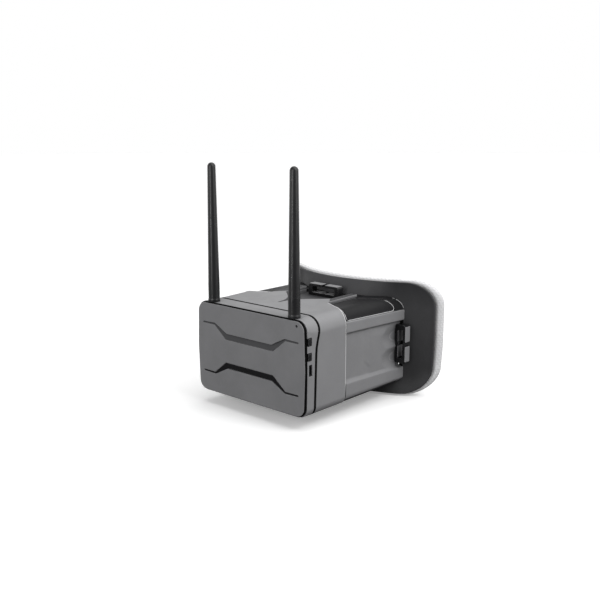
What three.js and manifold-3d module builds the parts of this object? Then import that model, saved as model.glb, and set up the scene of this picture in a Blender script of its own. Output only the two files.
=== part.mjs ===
// Box goggles for flying model aircraft: a display module at the front, a hollow body with a lens,
// and a flared face frame with a soft pad. Millimetres. X is to the wearer's left-right, Y runs from
// the front plate towards the face, Z is up. The design is drawn with the front plate on Y = 0 and
// its lower edge on Z = 0, and the whole group is moved at the end so that its origin lies at the
// middle of the box that holds it, on the lowest level.
import * as THREE from 'three';
import { mergeVertices } from 'three/addons/utils/BufferGeometryUtils.js';
import Module from 'manifold-3d';

const wasm = await Module();
wasm.setup();

// ---------------------------------------------------------------- driving dimensions
const caseHalf = 60;
const plateHeight = 76;
const plateHalf = 60.3;
const plateBulge = 1.0;
const plateCorner = 8.5;
const plateInset = 0.8;
const gap = 0.3;

const bandFront = 2.6;
const caseRear = 48;
const caseWall = 2.2;
const caseTopRise = 2.4;
const caseTopSettle = 45;
const caseOpening = 17;
const caseTopRadius = 13;
const caseBottomRadius = 7.5;

const seamLow = 10.3;
const seamTilt = 0.03;
const seamRise = 4;
const seamBendLow = 50;
const seamBendHigh = 74;
const seamWidth = 1.5;
const seamSealInset = 1.4;

const tongueHalf = 31.6;
const tongueEnd = 97.4;
const tongueUnderside = 71.2;
const scoopHalf = 25.2;
const scoopFloor = 72.8;

const junctionDepth = 98;
const junctionCurve = 0.0081;
const rimDepth = 106;
const rimCurve = 0.0045;
const rimHalf = 83.2;
const rimTop = 88.4;
const rimBottom = -9.6;
const rimTopCorner = 21;
const rimBottomCorner = 24;
const rimSlant = 1.3;
const flareWall = 2.2;
const flangeSeat = 0.3;
const backingGap = 0.6;
const backingWall = 0.8;
const noseRise = 16;
const noseHalf = 24;
const padDepth = 15;
const padInner = 0.42;
const padOuter = 1.128;

const shellHalf = 55.2;
const shellTop = 70.6;
const shellBottom = 2.7;
const shellWall = 1.8;

const skinFront = 48.8;
const skinSlope = -2.6;
const skinSlopeStart = 52;
const skinSlopeLength = 76;

const coverRadius = 12.2;
const coverWall = 2;
const coverCentreX = 47.4;
const coverCentreZ = 63.6;
const coverJoint = 0.7;
const coverRearGap = 12;
const panelHalf = 59.9;
const panelRecess = 58.1;
const panelSeat = 55.5;
const panelTop = 67.4;
const panelCorner = 7;
const bottomLevel = 0.6;
const bottomWall = 1.7;
const beyondFace = 130;
const ringCount = 60;

const bracketHalf = 16.8;
const bracketSlotHalf = 12.4;
const bracketDepth = 7;
const bracketBar = 2.5;
const bracketNub = 0.8;
const bracketSlot = 4.3;
const bracketReach = bracketBar + bracketNub + bracketSlot + 2.4;
const bracketScrewX = 9;
const bracketScrewY = 3.3;
const bracketScrewBore = 1.3;
const sideBracketX = 56.6;
const sideBracketY = 119;
const sideBracketZ = 36;
const topBracketY = 90.2;

const antennaHalfSpacing = 44.5;
const antennaDepth = 5;
const antennaLength = 112;
const antennaFoot = plateHeight + 0.8;

const antennaRadius = 4.65;
const antennaTipRadius = 3.3;
const jackRadius = 2.8;

const lightX = 51.2;
const lightZ = 71.5;
const lensHalf = 50.5;
const lensLow = 7.5;
const lensHigh = 66;
const lensDepth = 79.5;
const lensThickness = 2.3;
const displayHalf = 52.75;
const displayLow = 4.4;
const displayHigh = 71.6;
const displayDepth = 18;
const displayThickness = 3.2;
const boardFront = 12;
const boardThickness = 1.6;

const totalDepth = 149;
const lowestLevel = -11;
const frameShift = [0, -totalDepth / 2, -lowestLevel];

// ---------------------------------------------------------------- colours and finishes
function finish(color, roughness, metalness = 0) {
  return new THREE.MeshStandardMaterial({ color, roughness, metalness });
}

const finishes = {
  plate: finish(0x6f7074, 0.42),
  shellGrey: finish(0x9a9b9e, 0.45),
  bodyGrey: finish(0x75767a, 0.5),
  coverGrey: finish(0x4b4c50, 0.38),
  flangeGrey: finish(0x3f4043, 0.55),
  black: finish(0x1b1b1d, 0.45),
  seal: finish(0x0f0f10, 0.8),
  foam: finish(0xb9babd, 0.95),
  clear: finish(0xdfe6ea, 0.08),
  screen: finish(0x0a0c10, 0.12),
  board: finish(0x1c4a33, 0.5),
  steel: finish(0xb8bbc0, 0.28, 1),
  brass: finish(0xc9a24a, 0.3, 1),
  wrap: finish(0x33507a, 0.5),
};

const group = new THREE.Group();

function addMesh(name, geometry, material) {
  const mesh = new THREE.Mesh(geometry, finishes[material]);
  mesh.name = name;
  group.add(mesh);
  return mesh;
}

// ---------------------------------------------------------------- solids
function toSolid(geometry) {
  const bare = geometry.index ? geometry.toNonIndexed() : geometry.clone();
  bare.deleteAttribute('normal');
  bare.deleteAttribute('uv');
  const merged = mergeVertices(bare, 1e-4);
  const vertProperties = new Float32Array(merged.attributes.position.array);
  const triVerts = new Uint32Array(merged.index.array);
  return new wasm.Manifold(new wasm.Mesh({ numProp: 3, vertProperties, triVerts }));
}

function toGeometry(solid) {
  const mesh = solid.getMesh();
  const geometry = new THREE.BufferGeometry();
  geometry.setAttribute('position', new THREE.BufferAttribute(new Float32Array(mesh.vertProperties), 3));
  geometry.setIndex(new THREE.BufferAttribute(new Uint32Array(mesh.triVerts), 1));
  geometry.computeVertexNormals();
  return geometry;
}

function block([x0, x1], [y0, y1], [z0, z1]) {
  const geometry = new THREE.BoxGeometry(x1 - x0, y1 - y0, z1 - z0);
  return geometry.translate((x0 + x1) / 2, (y0 + y1) / 2, (z0 + z1) / 2);
}

// A shape drawn in X and Z, drawn out along Y.
function prismY(shape, y0, y1) {
  const geometry = new THREE.ExtrudeGeometry(shape, { depth: y1 - y0, bevelEnabled: false });
  return geometry.rotateX(Math.PI / 2).translate(0, y1, 0);
}

// A shape drawn in Y and Z, drawn out along X.
function prismX(shape, x0, x1) {
  const geometry = new THREE.ExtrudeGeometry(shape, { depth: x1 - x0, bevelEnabled: false });
  const turn = new THREE.Matrix4().set(0, 0, 1, 0, 1, 0, 0, 0, 0, 1, 0, 0, 0, 0, 0, 1);
  return geometry.applyMatrix4(turn).translate(x0, 0, 0);
}

// A shape drawn in X and Y, drawn out along Z.
function prismZ(shape, z0, z1) {
  const geometry = new THREE.ExtrudeGeometry(shape, { depth: z1 - z0, bevelEnabled: false });
  return geometry.translate(0, 0, z0);
}

function shapeOf(points) {
  return new THREE.Shape(points.map(([a, b]) => new THREE.Vector2(a, b)));
}

function rod(radius, y0, y1, segments = 20) {
  return new THREE.CylinderGeometry(radius, radius, y1 - y0, segments).translate(0, (y0 + y1) / 2, 0);
}

// Turned piece about Z from a closed profile of radius and height.
function turned(profile, segments = 28) {
  const points = profile.map(([radius, height]) => new THREE.Vector2(radius, height));
  return new THREE.LatheGeometry(points, segments).rotateX(Math.PI / 2);
}

// ---------------------------------------------------------------- outlines
// Upright outline with rounded corners, anticlockwise in X and Z, always the same number of points.
function roundedOutline(half, low, high, topRadius, bottomRadius, arcSteps = 8) {
  const corners = [
    [half - bottomRadius, low + bottomRadius, bottomRadius, -Math.PI / 2],
    [half - topRadius, high - topRadius, topRadius, 0],
    [topRadius - half, high - topRadius, topRadius, Math.PI / 2],
    [bottomRadius - half, low + bottomRadius, bottomRadius, Math.PI],
  ];
  const points = [];
  for (const [cx, cz, radius, start] of corners) {
    for (let i = 0; i <= arcSteps; i += 1) {
      const angle = start + (i / arcSteps) * (Math.PI / 2);
      points.push([cx + radius * Math.cos(angle), cz + radius * Math.sin(angle)]);
    }
  }
  return points;
}

function plateOutline(inset) {
  const half = plateHalf - plateBulge - inset;
  const points = roundedOutline(half, inset, plateHeight - inset, plateCorner - inset, plateCorner - inset);
  const perCorner = points.length / 4;
  const bulge = [plateHalf - inset, plateHeight / 2];
  points.splice(perCorner * 3, 0, [-bulge[0], bulge[1]]);
  points.splice(perCorner, 0, bulge);
  return points;
}

// Closed skin over a row of outlines that lie at rising depths, with both ends filled in.
function loftSolid(sections) {
  const count = sections[0].points.length;
  const positions = [];
  for (const { depth, points } of sections) {
    for (const [x, z] of points) positions.push(x, depth, z);
  }
  const index = [];
  for (let s = 0; s < sections.length - 1; s += 1) {
    for (let i = 0; i < count; i += 1) {
      const a = s * count + i;
      const b = s * count + ((i + 1) % count);
      index.push(a, b + count, b, a, a + count, b + count);
    }
  }
  const flat = sections[0].points.map(([x, z]) => new THREE.Vector2(x, z));
  const last = (sections.length - 1) * count;
  for (const [a, b, c] of THREE.ShapeUtils.triangulateShape(flat, [])) {
    index.push(a, b, c, last + a, last + c, last + b);
  }
  return indexed(positions, index);
}

// Closed skin over loops that follow each other round a section and meet again.
function loftRing(loops) {
  const count = loops[0].length;
  const positions = loops.flat().flat();
  const index = [];
  for (let s = 0; s < loops.length; s += 1) {
    const next = (s + 1) % loops.length;
    for (let i = 0; i < count; i += 1) {
      const j = (i + 1) % count;
      index.push(s * count + i, next * count + j, s * count + j);
      index.push(s * count + i, next * count + i, next * count + j);
    }
  }
  return indexed(positions, index);
}

function indexed(positions, index) {
  const geometry = new THREE.BufferGeometry();
  geometry.setAttribute('position', new THREE.Float32BufferAttribute(positions, 3));
  geometry.setIndex(index);
  geometry.computeVertexNormals();
  return geometry;
}

// ---------------------------------------------------------------- case of the display module
function smoothStep(from, to, value) {
  const t = Math.min(1, Math.max(0, (value - from) / (to - from)));
  return t * t * (3 - 2 * t);
}

// The top of the case climbs gently from the front plate towards the face.
function caseTop(depth) {
  return plateHeight + caseTopRise * (1 - Math.exp(-depth / caseTopSettle));
}

function caseSections(inset, front, rear, topDrop = 0) {
  const depths = [front, 10, 17, 31, 48, 70, rear];
  return depths.map((depth) => {
    const opening = smoothStep(0, caseOpening, depth);
    const topRadius = plateCorner + (caseTopRadius - plateCorner) * opening - inset;
    const high = caseTop(depth) - inset - topDrop;
    const bottomRadius = caseBottomRadius - inset;
    return { depth, points: roundedOutline(caseHalf - inset, inset, high, topRadius, bottomRadius) };
  });
}

const caseOuter = toSolid(loftSolid(caseSections(0, bandFront, tongueEnd + 0.2)));
const caseInner = toSolid(loftSolid(caseSections(caseWall, 1, 99)));

// Everything in front of the seam line, as seen from the side: the seam runs further back at the top.
function frontOfSeam(offset) {
  const points = [[-5, -5], [seamLow + offset, -5]];
  for (let z = 0; z <= 80; z += 4) {
    points.push([seamLow + seamTilt * z + seamRise * smoothStep(seamBendLow, seamBendHigh, z) + offset, z]);
  }
  points.push([-5, 80]);
  return toSolid(prismX(shapeOf(points), -70, 70));
}

const buttons = [
  { name: 'up', z0: 56.7, z1: 63 },
  { name: 'down', z0: 45.1, z1: 51.4 },
];
const buttonSlotDepth = [1.5, 7.5];
const usb = { y: [4.4, 7.8], z: [33, 42] };

function jackCutter(side) {
  const cutter = new THREE.CylinderGeometry(jackRadius + gap, jackRadius + gap, 14, 20).rotateX(Math.PI / 2);
  return toSolid(cutter.translate(side * antennaHalfSpacing, antennaDepth, plateHeight));
}

function buildModuleBand() {
  let band = caseOuter.subtract(caseInner).intersect(frontOfSeam(0));
  for (const { z0, z1 } of buttons) {
    band = band.subtract(toSolid(block([54, 62], buttonSlotDepth, [z0, z1])));
  }
  band = band.subtract(toSolid(block([54, 62], usb.y, usb.z)));
  for (const side of [-1, 1]) band = band.subtract(jackCutter(side));
  addMesh('module_band', toGeometry(band), 'shellGrey');
}

function buildSeamSeal() {
  const outer = toSolid(loftSolid(caseSections(seamSealInset, bandFront, 40)));
  const inner = toSolid(loftSolid(caseSections(seamSealInset + 1.6, 1, 41)));
  const seal = outer.subtract(inner).intersect(frontOfSeam(seamWidth - 0.1).subtract(frontOfSeam(0.1)));
  addMesh('seam_seal', toGeometry(seal), 'seal');
}

// ---------------------------------------------------------------- front plate
const grooveUpper = [
  [-53, 59.3], [-39, 59.7], [-25, 52.6], [25, 52.6], [39, 59.7], [53, 59.3],
  [53, 58], [39.5, 58], [26.5, 47.6], [-26.5, 47.6], [-39.5, 58], [-53, 58],
];

function mirrorUpright(points) {
  return points.map(([x, z]) => [x, plateHeight - z]).reverse();
}

function buildFrontPlate() {
  const rim = toSolid(prismY(shapeOf(plateOutline(plateInset)), 0, 0.8));
  const back = toSolid(prismY(shapeOf(plateOutline(4.4)), 0.5, 2.2));
  let plate = rim.add(back);
  for (const points of [grooveUpper, mirrorUpright(grooveUpper)]) {
    plate = plate.subtract(toSolid(prismY(shapeOf(points.slice().reverse()), -1, 1.2)));
  }
  plate = plate.subtract(toSolid(rod(1, -1, 4).translate(lightX, 0, lightZ)));
  addMesh('front_plate', toGeometry(plate), 'plate');
}

function buildPlateSeal() {
  const outer = toSolid(prismY(shapeOf(plateOutline(0.1)), 1.1, 2.4));
  let seal = outer.subtract(toSolid(prismY(shapeOf(plateOutline(4.1)), 0, 4)));
  for (const side of [-1, 1]) seal = seal.subtract(jackCutter(side));
  seal = seal.subtract(toSolid(rod(1, -1, 4).translate(lightX, 0, lightZ)));
  addMesh('plate_seal', toGeometry(seal), 'seal');
}

function buildGrooveInlays() {
  const names = ['groove_inlay_upper', 'groove_inlay_lower'];
  const outlines = [grooveUpper, mirrorUpright(grooveUpper)];
  outlines.forEach((points, i) => {
    const smaller = points.map(([x, z], k) => [x * 0.992, z + (k < 6 ? -gap : gap)]);
    addMesh(names[i], prismY(shapeOf(smaller.slice().reverse()), 0.7, 1.1), 'black');
  });
}

// ---------------------------------------------------------------- housing with the tongue on top
function topPlanOutline() {
  const right = [[61, 30], [61, caseRear], [58.5, caseRear], [45.5, 51], [tongueHalf + 1.6, 57.2], [tongueHalf, 60]];
  right.push([tongueHalf, tongueEnd]);
  const left = right.map(([x, y]) => [-x, y]).reverse();
  return right.concat(left);
}

// The leaf-shaped hollow in front of the upper strap bracket: pointed in front, sinking backwards.
function topScoop() {
  const marks = [[0, 31.7], [2.4, 44], [7.6, 53.7], [15.4, 61.6], [20.5, 66], [scoopHalf, 71]];
  const curve = new THREE.SplineCurve(marks.map(([x, y]) => new THREE.Vector2(x, y)));
  const edge = curve.getPoints(12).map(({ x, y }) => [x, y]);
  const right = edge.concat([[scoopHalf, 99]]);
  const left = right.slice(1).map(([x, y]) => [-x, y]).reverse();
  const plan = toSolid(prismZ(shapeOf(right.concat(left)), 60, 90));
  const above = shapeOf([[30, 77.4], [64, 75.6], [86, scoopFloor], [99, scoopFloor], [99, 90], [30, 90]]);
  return plan.intersect(toSolid(prismX(above, -28, 28)));
}

function buildHousing() {
  const keep = toSolid(block([-70, 70], [0, caseRear], [-5, 66])).add(
    toSolid(prismZ(shapeOf(topPlanOutline()), 60, 90)).add(toSolid(block([-70, 70], [0, 40], [50, 90]))),
  );
  let housing = caseOuter.subtract(caseInner).intersect(keep).subtract(frontOfSeam(seamWidth));
  const slab = toSolid(block([-tongueHalf, tongueHalf], [46, tongueEnd], [tongueUnderside, 75.5]));
  housing = housing.add(slab).subtract(topScoop());
  for (const x of [-bracketScrewX, bracketScrewX]) {
    const hole = new THREE.CylinderGeometry(bracketScrewBore, bracketScrewBore, 12, 16).rotateX(Math.PI / 2);
    housing = housing.subtract(toSolid(hole.translate(x, topBracketY + bracketScrewY, 72)));
  }
  addMesh('housing_shell', toGeometry(housing), 'shellGrey');
}

// ---------------------------------------------------------------- rear body
// In plan the rear edge of the body is an arc that runs round the face.
function inFrontOfArc(start, curve, offset) {
  const points = [];
  for (let x = -90; x <= 90; x += 5) points.push([x, start + curve * x * x + offset]);
  points.push([90, -20], [-90, -20]);
  return toSolid(prismZ(shapeOf(points.reverse()), -40, 110));
}

const bodyEnd = inFrontOfArc(junctionDepth, junctionCurve, -gap);
const coverEnd = inFrontOfArc(junctionDepth, junctionCurve, -coverRearGap);

// Section of the right top cover: flat beside the tongue, then rounded over the side.
function coverSection() {
  const arc = (radius) => {
    const points = [[tongueHalf + coverJoint, coverCentreZ + radius]];
    for (let i = 0; i <= 10; i += 1) {
      const angle = (Math.PI / 2) * (1 - i / 10);
      points.push([coverCentreX + radius * Math.cos(angle), coverCentreZ + radius * Math.sin(angle)]);
    }
    return points;
  };
  return arc(coverRadius).concat(arc(coverRadius - coverWall).reverse());
}

// The upper edge of a side panel drops a little towards the face.
function abovePanel(offset) {
  const drop = (y) => panelTop + offset + (skinSlope * (y - skinSlopeStart)) / skinSlopeLength;
  return toSolid(prismX(shapeOf([[30, drop(30)], [140, drop(140)], [140, 100], [30, 100]]), -80, 80));
}

function behindHousing(offset) {
  const points = [[61, 48.8], [58.5, 48.8], [45.5, 51.8], [tongueHalf + 1.9, 57.9]];
  points.push([tongueHalf + coverJoint, 60.4]);
  const moved = points.map(([x, y]) => [x, y + offset]);
  return toSolid(prismZ(shapeOf([[20, 130], [20, 60.4 + offset], ...moved.reverse(), [61, 130]]), 50, 90));
}

function mirrored(solid) {
  return solid.scale([-1, 1, 1]);
}

function buildTopCovers() {
  const section = toSolid(prismY(shapeOf(coverSection().reverse()), 40, 130));
  const right = section.intersect(behindHousing(0)).intersect(coverEnd).intersect(abovePanel(0.4));
  addMesh('top_cover_right', toGeometry(right), 'coverGrey');
  addMesh('top_cover_left', toGeometry(mirrored(right)), 'coverGrey');
}

function buildBodyShell() {
  const tubeOutline = roundedOutline(shellHalf, shellBottom, shellTop, 9, 6);
  const coreHalf = shellHalf - shellWall;
  const coreOutline = roundedOutline(coreHalf, shellBottom + shellWall, shellTop - shellWall, 7.2, 4.2);
  let shell = toSolid(prismY(shapeOf(tubeOutline), 44, 130));
  const spigot = toSolid(prismY(shapeOf(roundedOutline(57.5, 2.5, 70.9, 9, 5.2)), 44, 47.7));
  const collar = toSolid(prismY(shapeOf(coverSection().reverse()), 80, 130))
    .subtract(inFrontOfArc(junctionDepth, junctionCurve, gap * 2 - coverRearGap)).intersect(abovePanel(0.4));
  const rib = toSolid(block([tongueHalf + 1, 54.6], [100, 130], [66, 74.2]))
    .subtract(inFrontOfArc(junctionDepth, junctionCurve, gap * 2 - coverRearGap));
  const bridgeHalf = tongueHalf + 1.5;
  const bridgeBlock = block([-bridgeHalf, bridgeHalf], [tongueEnd + gap, beyondFace], [68, 75.4]);
  shell = shell.add(toSolid(bridgeBlock));
  shell = shell.add(spigot).add(collar).add(mirrored(collar)).add(rib).add(mirrored(rib));
  shell = shell.subtract(toSolid(prismY(shapeOf(coreOutline), 40, 140))).intersect(bodyEnd);
  for (const place of bracketPlaces) shell = shell.subtract(screwHoles(place, bracketScrewBore));
  addMesh('body_shell', toGeometry(shell), 'bodyGrey');
}

// Section of a side panel in X and Z: a proud rail below, a recess, and a proud rail above.
function panelSection() {
  const cornerX = 52.6;
  const bottomTop = bottomLevel + bottomWall;
  const points = [[50.6, bottomTop], [50.6, bottomLevel], [cornerX, bottomLevel]];
  for (let i = 1; i <= 7; i += 1) {
    const angle = -Math.PI / 2 + (i / 8) * (Math.PI / 2);
    const z = bottomLevel + panelCorner + panelCorner * Math.sin(angle);
    points.push([cornerX + panelCorner * Math.cos(angle), z]);
  }
  points.push([panelHalf, 8.8], [panelHalf, 16.6], [panelRecess, 18.6], [panelRecess, 57.4]);
  points.push([panelHalf, 59.4], [panelHalf, panelTop], [panelSeat, panelTop], [panelSeat, bottomTop]);
  return points;
}

// Two soft hollows in front of each side bracket, one above the other.
function sideScoops() {
  const scoops = [26.5, 45.5].map((z) => {
    const bowl = new THREE.SphereGeometry(1, 14, 10).scale(4.6, 17, 8.6);
    return toSolid(bowl.translate(60.6, 122, z));
  });
  const pocket = toSolid(block([56.3, 62], [118.6, 130], [18.4, 53.6]));
  return scoops[0].add(scoops[1]).add(pocket);
}

function buildSidePanels() {
  const geometry = prismY(shapeOf(panelSection()), skinFront, beyondFace);
  const solid = toSolid(geometry).warp((vertex) => {
    const share = Math.min(1, Math.max(0, (vertex[2] - 3) / 6));
    vertex[2] += (share * skinSlope * (vertex[1] - skinSlopeStart)) / skinSlopeLength;
  });
  let right = solid.intersect(bodyEnd).subtract(sideScoops());
  right = right.subtract(screwHoles(bracketPlaces[1], bracketScrewBore));
  addMesh('side_panel_right', toGeometry(right), 'bodyGrey');
  addMesh('side_panel_left', toGeometry(mirrored(right)), 'bodyGrey');
}

function buildBottomCover() {
  const levels = [bottomLevel, bottomLevel + bottomWall];
  const plate = toSolid(block([-50.2, 50.2], [skinFront, beyondFace], levels)).intersect(bodyEnd);
  const grip = [60, 66, 72, 78].map((y) => toSolid(block([-30, 30], [y, y + 2.4], [0, 1.2])));
  const cover = grip.reduce((whole, bar) => whole.subtract(bar), plate);
  addMesh('bottom_cover', toGeometry(cover), 'coverGrey');
}

// ---------------------------------------------------------------- face frame and pad
// Points at equal steps along an outline, starting at its top middle and running clockwise.
function evenPoints(points) {
  const curve = new THREE.CurvePath();
  for (let i = 0; i < points.length; i += 1) {
    const [x0, z0] = points[i];
    const [x1, z1] = points[(i + 1) % points.length];
    curve.add(new THREE.LineCurve(new THREE.Vector2(x0, z0), new THREE.Vector2(x1, z1)));
  }
  return curve.getSpacedPoints(ringCount).slice(0, ringCount).map(({ x, y }) => [x, y]);
}

function faceOutline(half, low, high, topRadius, bottomRadius, rise) {
  const outline = roundedOutline(half, low, high, topRadius, bottomRadius, 10);
  const perCorner = outline.length / 4;
  const top = [[0, high]];
  const leftSide = outline.slice(perCorner * 2);
  const rightSide = outline.slice(0, perCorner * 2);
  const nose = [];
  for (let i = 0; i <= 32; i += 1) {
    const x = noseHalf * (i / 16 - 1);
    nose.push([x, low + rise * (0.5 + 0.5 * Math.cos((Math.PI * x) / noseHalf))]);
  }
  return evenPoints(top.concat(leftSide, nose, rightSide));
}

const junctionRing = faceOutline(caseHalf - 0.4, 0.6, 75.8, 12.5, 7.5, noseRise);
const rimRing = faceOutline(rimHalf, rimBottom, rimTop, rimTopCorner, rimBottomCorner, noseRise)
  .map(([x, z]) => [x * (1 - rimSlant / rimHalf * smoothStep(40, -8, z)), z]);

// A loop on the flare: share 0 lies on the body's rear edge and share 1 on the outer rim.
function flareLoop(share, offset) {
  return junctionRing.map(([jx, jz], i) => {
    const [rx, rz] = rimRing[i];
    const x = jx + (rx - jx) * share;
    const z = jz + (rz - jz) * share;
    const near = junctionDepth + junctionCurve * x * x;
    const far = rimDepth + rimCurve * x * x;
    const bend = Math.min(1, Math.max(0, share));
    return [x, near + (far - near) * bend + offset, z];
  });
}

function buildFaceFlange() {
  const front = [0, 0.25, 0.44, 0.7, 0.94].map((share) => flareLoop(share, flangeSeat));
  const lip = [flareLoop(1, 0.8), flareLoop(1, flareWall)];
  const back = [0.94, 0.7, 0.44, -0.12].map((share) => flareLoop(share, flareWall));
  const root = [flareLoop(-0.12, 0.5)];
  addMesh('face_flange', loftRing(front.concat(lip, back, root)), 'flangeGrey');
}

function buildPadBacking() {
  const shares = [0.44, 0.7, 0.94];
  const start = flareWall + backingGap;
  const front = shares.map((share) => flareLoop(share, start));
  const back = shares.reverse().map((share) => flareLoop(share, start + backingWall));
  addMesh('pad_backing', loftRing(front.concat(back)), 'seal');
}

function padLoop(share, depth) {
  return flareLoop(share, 0).map(([x, , z]) => [x, rimDepth + rimCurve * x * x + depth, z]);
}

function buildFacePad() {
  const start = flareWall + backingGap * 2 + backingWall;
  const front = [padInner, 0.7, 0.97].map((share) => flareLoop(share, start));
  const back = [padLoop(1.1, 4.6), padLoop(padOuter, 7), padLoop(1.08, 10.4), padLoop(0.94, 12.9)];
  back.push(padLoop(0.8, padDepth - 0.4), padLoop(0.6, padDepth - 0.4));
  back.push(padLoop(0.45, padDepth - 2.4), padLoop(padInner, 8));
  addMesh('face_pad', loftRing(front.concat(back)), 'foam');
}

// ---------------------------------------------------------------- strap brackets
const bracketPlaces = [
  { name: 'top', position: [0, topBracketY, scoopFloor + gap], turn: 0 },
  { name: 'right', position: [sideBracketX, sideBracketY, sideBracketZ], turn: Math.PI / 2 },
  { name: 'left', position: [-sideBracketX, sideBracketY, sideBracketZ], turn: -Math.PI / 2 },
];

function placed(geometry, { position, turn }) {
  return geometry.rotateY(turn).translate(...position);
}

function screwHoles(place, radius) {
  const holes = [-bracketScrewX, bracketScrewX].map((x) => {
    const bore = new THREE.CylinderGeometry(radius, radius, 8, 16).rotateX(Math.PI / 2);
    return toSolid(placed(bore.translate(x, bracketScrewY, -2), place));
  });
  return holes[0].add(holes[1]);
}

// Strap bracket: a closed bar on the body, two arms and an outer bar split in the middle.
function bracketSolid() {
  const profile = roundedOutline(bracketHalf, 0, bracketReach, 2.4, 0.8, 5);
  const slotLow = bracketBar;
  const slotHigh = bracketBar + bracketNub + bracketSlot;
  const frame = toSolid(prismY(shapeOf(profile), 0, bracketDepth));
  const through = [-1, bracketDepth + 1];
  const slot = toSolid(block([-bracketSlotHalf, bracketSlotHalf], through, [slotLow, slotHigh]));
  const split = toSolid(block([-1.5, 1.5], through, [slotHigh - 1, bracketReach + 1]));
  const nub = toSolid(block([-1.3, 1.3], [0.6, 3.6], [slotLow - 0.5, slotLow + bracketNub]));
  const relief = toSolid(block([-20, 20], [4.2, bracketDepth + 1], [-1, 2.6]));
  let bracket = frame.subtract(slot).subtract(split).add(nub).subtract(relief);
  for (const x of [-bracketScrewX, bracketScrewX]) {
    const bore = new THREE.CylinderGeometry(1.2, 1.2, 3.6, 16).rotateX(Math.PI / 2);
    bracket = bracket.subtract(toSolid(bore.translate(x, bracketScrewY, -0.2)));
  }
  return bracket;
}

function buildBrackets() {
  const geometry = toGeometry(bracketSolid());
  for (const { name, position, turn } of bracketPlaces) {
    const mesh = addMesh(`strap_bracket_${name}`, geometry, 'black');
    mesh.position.set(...position);
    mesh.rotation.y = turn;
  }
}

function screwGeometry(headRadius, headHeight, shankRadius, length) {
  const drive = headRadius * 0.5;
  const floor = headHeight - 0.6;
  return turned([
    [0, -length], [shankRadius, -length], [shankRadius, 0], [headRadius, 0], [headRadius, headHeight],
    [drive, headHeight], [drive, floor], [0, floor],
  ], 10);
}

function buildBracketScrews() {
  const topHead = shellTop - shellWall - scoopFloor - gap * 2;
  const sideHead = shellHalf - shellWall - sideBracketX - gap;
  const heads = [topHead, sideHead, sideHead];
  bracketPlaces.forEach(({ name, position, turn }, i) => {
    [-bracketScrewX, bracketScrewX].forEach((x, k) => {
      const geometry = screwGeometry(1.9, 1.2, 0.9, 0.8 - heads[i]).rotateX(Math.PI);
      geometry.translate(x, bracketScrewY, heads[i]).rotateY(turn);
      const mesh = addMesh(`bracket_screw_${name}_${k + 1}`, geometry, 'steel');
      mesh.position.set(...position);
    });
  });
}

// ---------------------------------------------------------------- optics and electronics
function ringPlate(outer, inner, y0, y1) {
  return toSolid(prismY(shapeOf(outer), y0, y1)).subtract(toSolid(prismY(shapeOf(inner), y0 - 1, y1 + 1)));
}

function buildOptics() {
  const outer = roundedOutline(53, 4.9, 68.4, 6.8, 3.8);
  const opening = roundedOutline(46.5, 10, 63, 9, 9);
  let frame = ringPlate(outer, opening, lensDepth + 2.6, lensDepth + 5.2);
  const nosePad = roundedOutline(17, 6, 17, 7, 2, 6);
  frame = frame.add(toSolid(prismY(shapeOf(nosePad), lensDepth + 2.6, lensDepth + 5.2)));
  addMesh('lens_frame', toGeometry(frame), 'black');
  const lens = roundedOutline(lensHalf, lensLow, lensHigh, 4, 4);
  addMesh('fresnel_lens', prismY(shapeOf(lens), lensDepth, lensDepth + lensThickness), 'clear');
  const clamp = ringPlate(outer, opening, lensDepth - 2.6, lensDepth - gap);
  addMesh('lens_clamp', toGeometry(clamp), 'black');
}

function buildDisplay() {
  const rear = displayDepth + displayThickness + 0.2;
  const panel = roundedOutline(displayHalf, displayLow, displayHigh, 1.5, 1.5, 3);
  addMesh('lcd_panel', prismY(shapeOf(panel), displayDepth, displayDepth + displayThickness), 'screen');
  const window = roundedOutline(48.5, 10.5, 65.5, 1, 1, 3);
  let bezel = ringPlate(roundedOutline(57, 3, 73, 10.5, 5.6, 5), window, rear, rear + 2);
  for (const [x, z] of boardScrewPlaces) {
    bezel = bezel.add(toSolid(rod(1.9, 14, rear + 0.5, 12).translate(x, 0, z)));
    bezel = bezel.subtract(toSolid(rod(1.1, 12, 19, 10).translate(x, 0, z)));
  }
  addMesh('lcd_bezel', toGeometry(bezel), 'black');
}

const boardScrewPlaces = [[-54.9, 14], [54.9, 14], [-54.9, 64.5], [54.9, 64.5]];

function buildBoard() {
  const outline = roundedOutline(56.6, 5.5, 70.5, 5, 4, 4);
  let board = toSolid(prismY(shapeOf(outline), boardFront, boardFront + boardThickness));
  for (const [x, z] of boardScrewPlaces) {
    board = board.subtract(toSolid(rod(1.2, 10, 15, 12).translate(x, 0, z)));
  }
  addMesh('main_board', toGeometry(board), 'board');
  boardScrewPlaces.forEach(([x, z], i) => {
    const screw = screwGeometry(1.7, 1.1, 0.8, 6).rotateX(Math.PI / 2);
    addMesh(`board_screw_${i + 1}`, screw.translate(x, boardFront - gap, z), 'steel');
  });
  const cell = roundedOutline(33, 10, 50, 3, 3, 4);
  addMesh('battery_pack', prismY(shapeOf(cell), 4.2, 11.4), 'wrap');
  for (const [name, side] of [['left', -1], ['right', 1]]) {
    const can = block([-12, 12], [8.9, 11.7], [53, 60.8]).translate(side * 34, 0, 0);
    addMesh(`receiver_can_${name}`, can, 'steel');
  }
}

function buildUsb() {
  const hollow = toSolid(prismX(shapeOf(usbOutline(0.7)), 52.6, 61));
  const shell = toSolid(prismX(shapeOf(usbOutline(0.3)), 52, 59.6)).subtract(hollow);
  addMesh('usb_shell', toGeometry(shell), 'steel');
  addMesh('usb_tongue', block([52.9, 58.4], [5.8, 6.5], [34.9, 40.1]), 'black');
}

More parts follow.
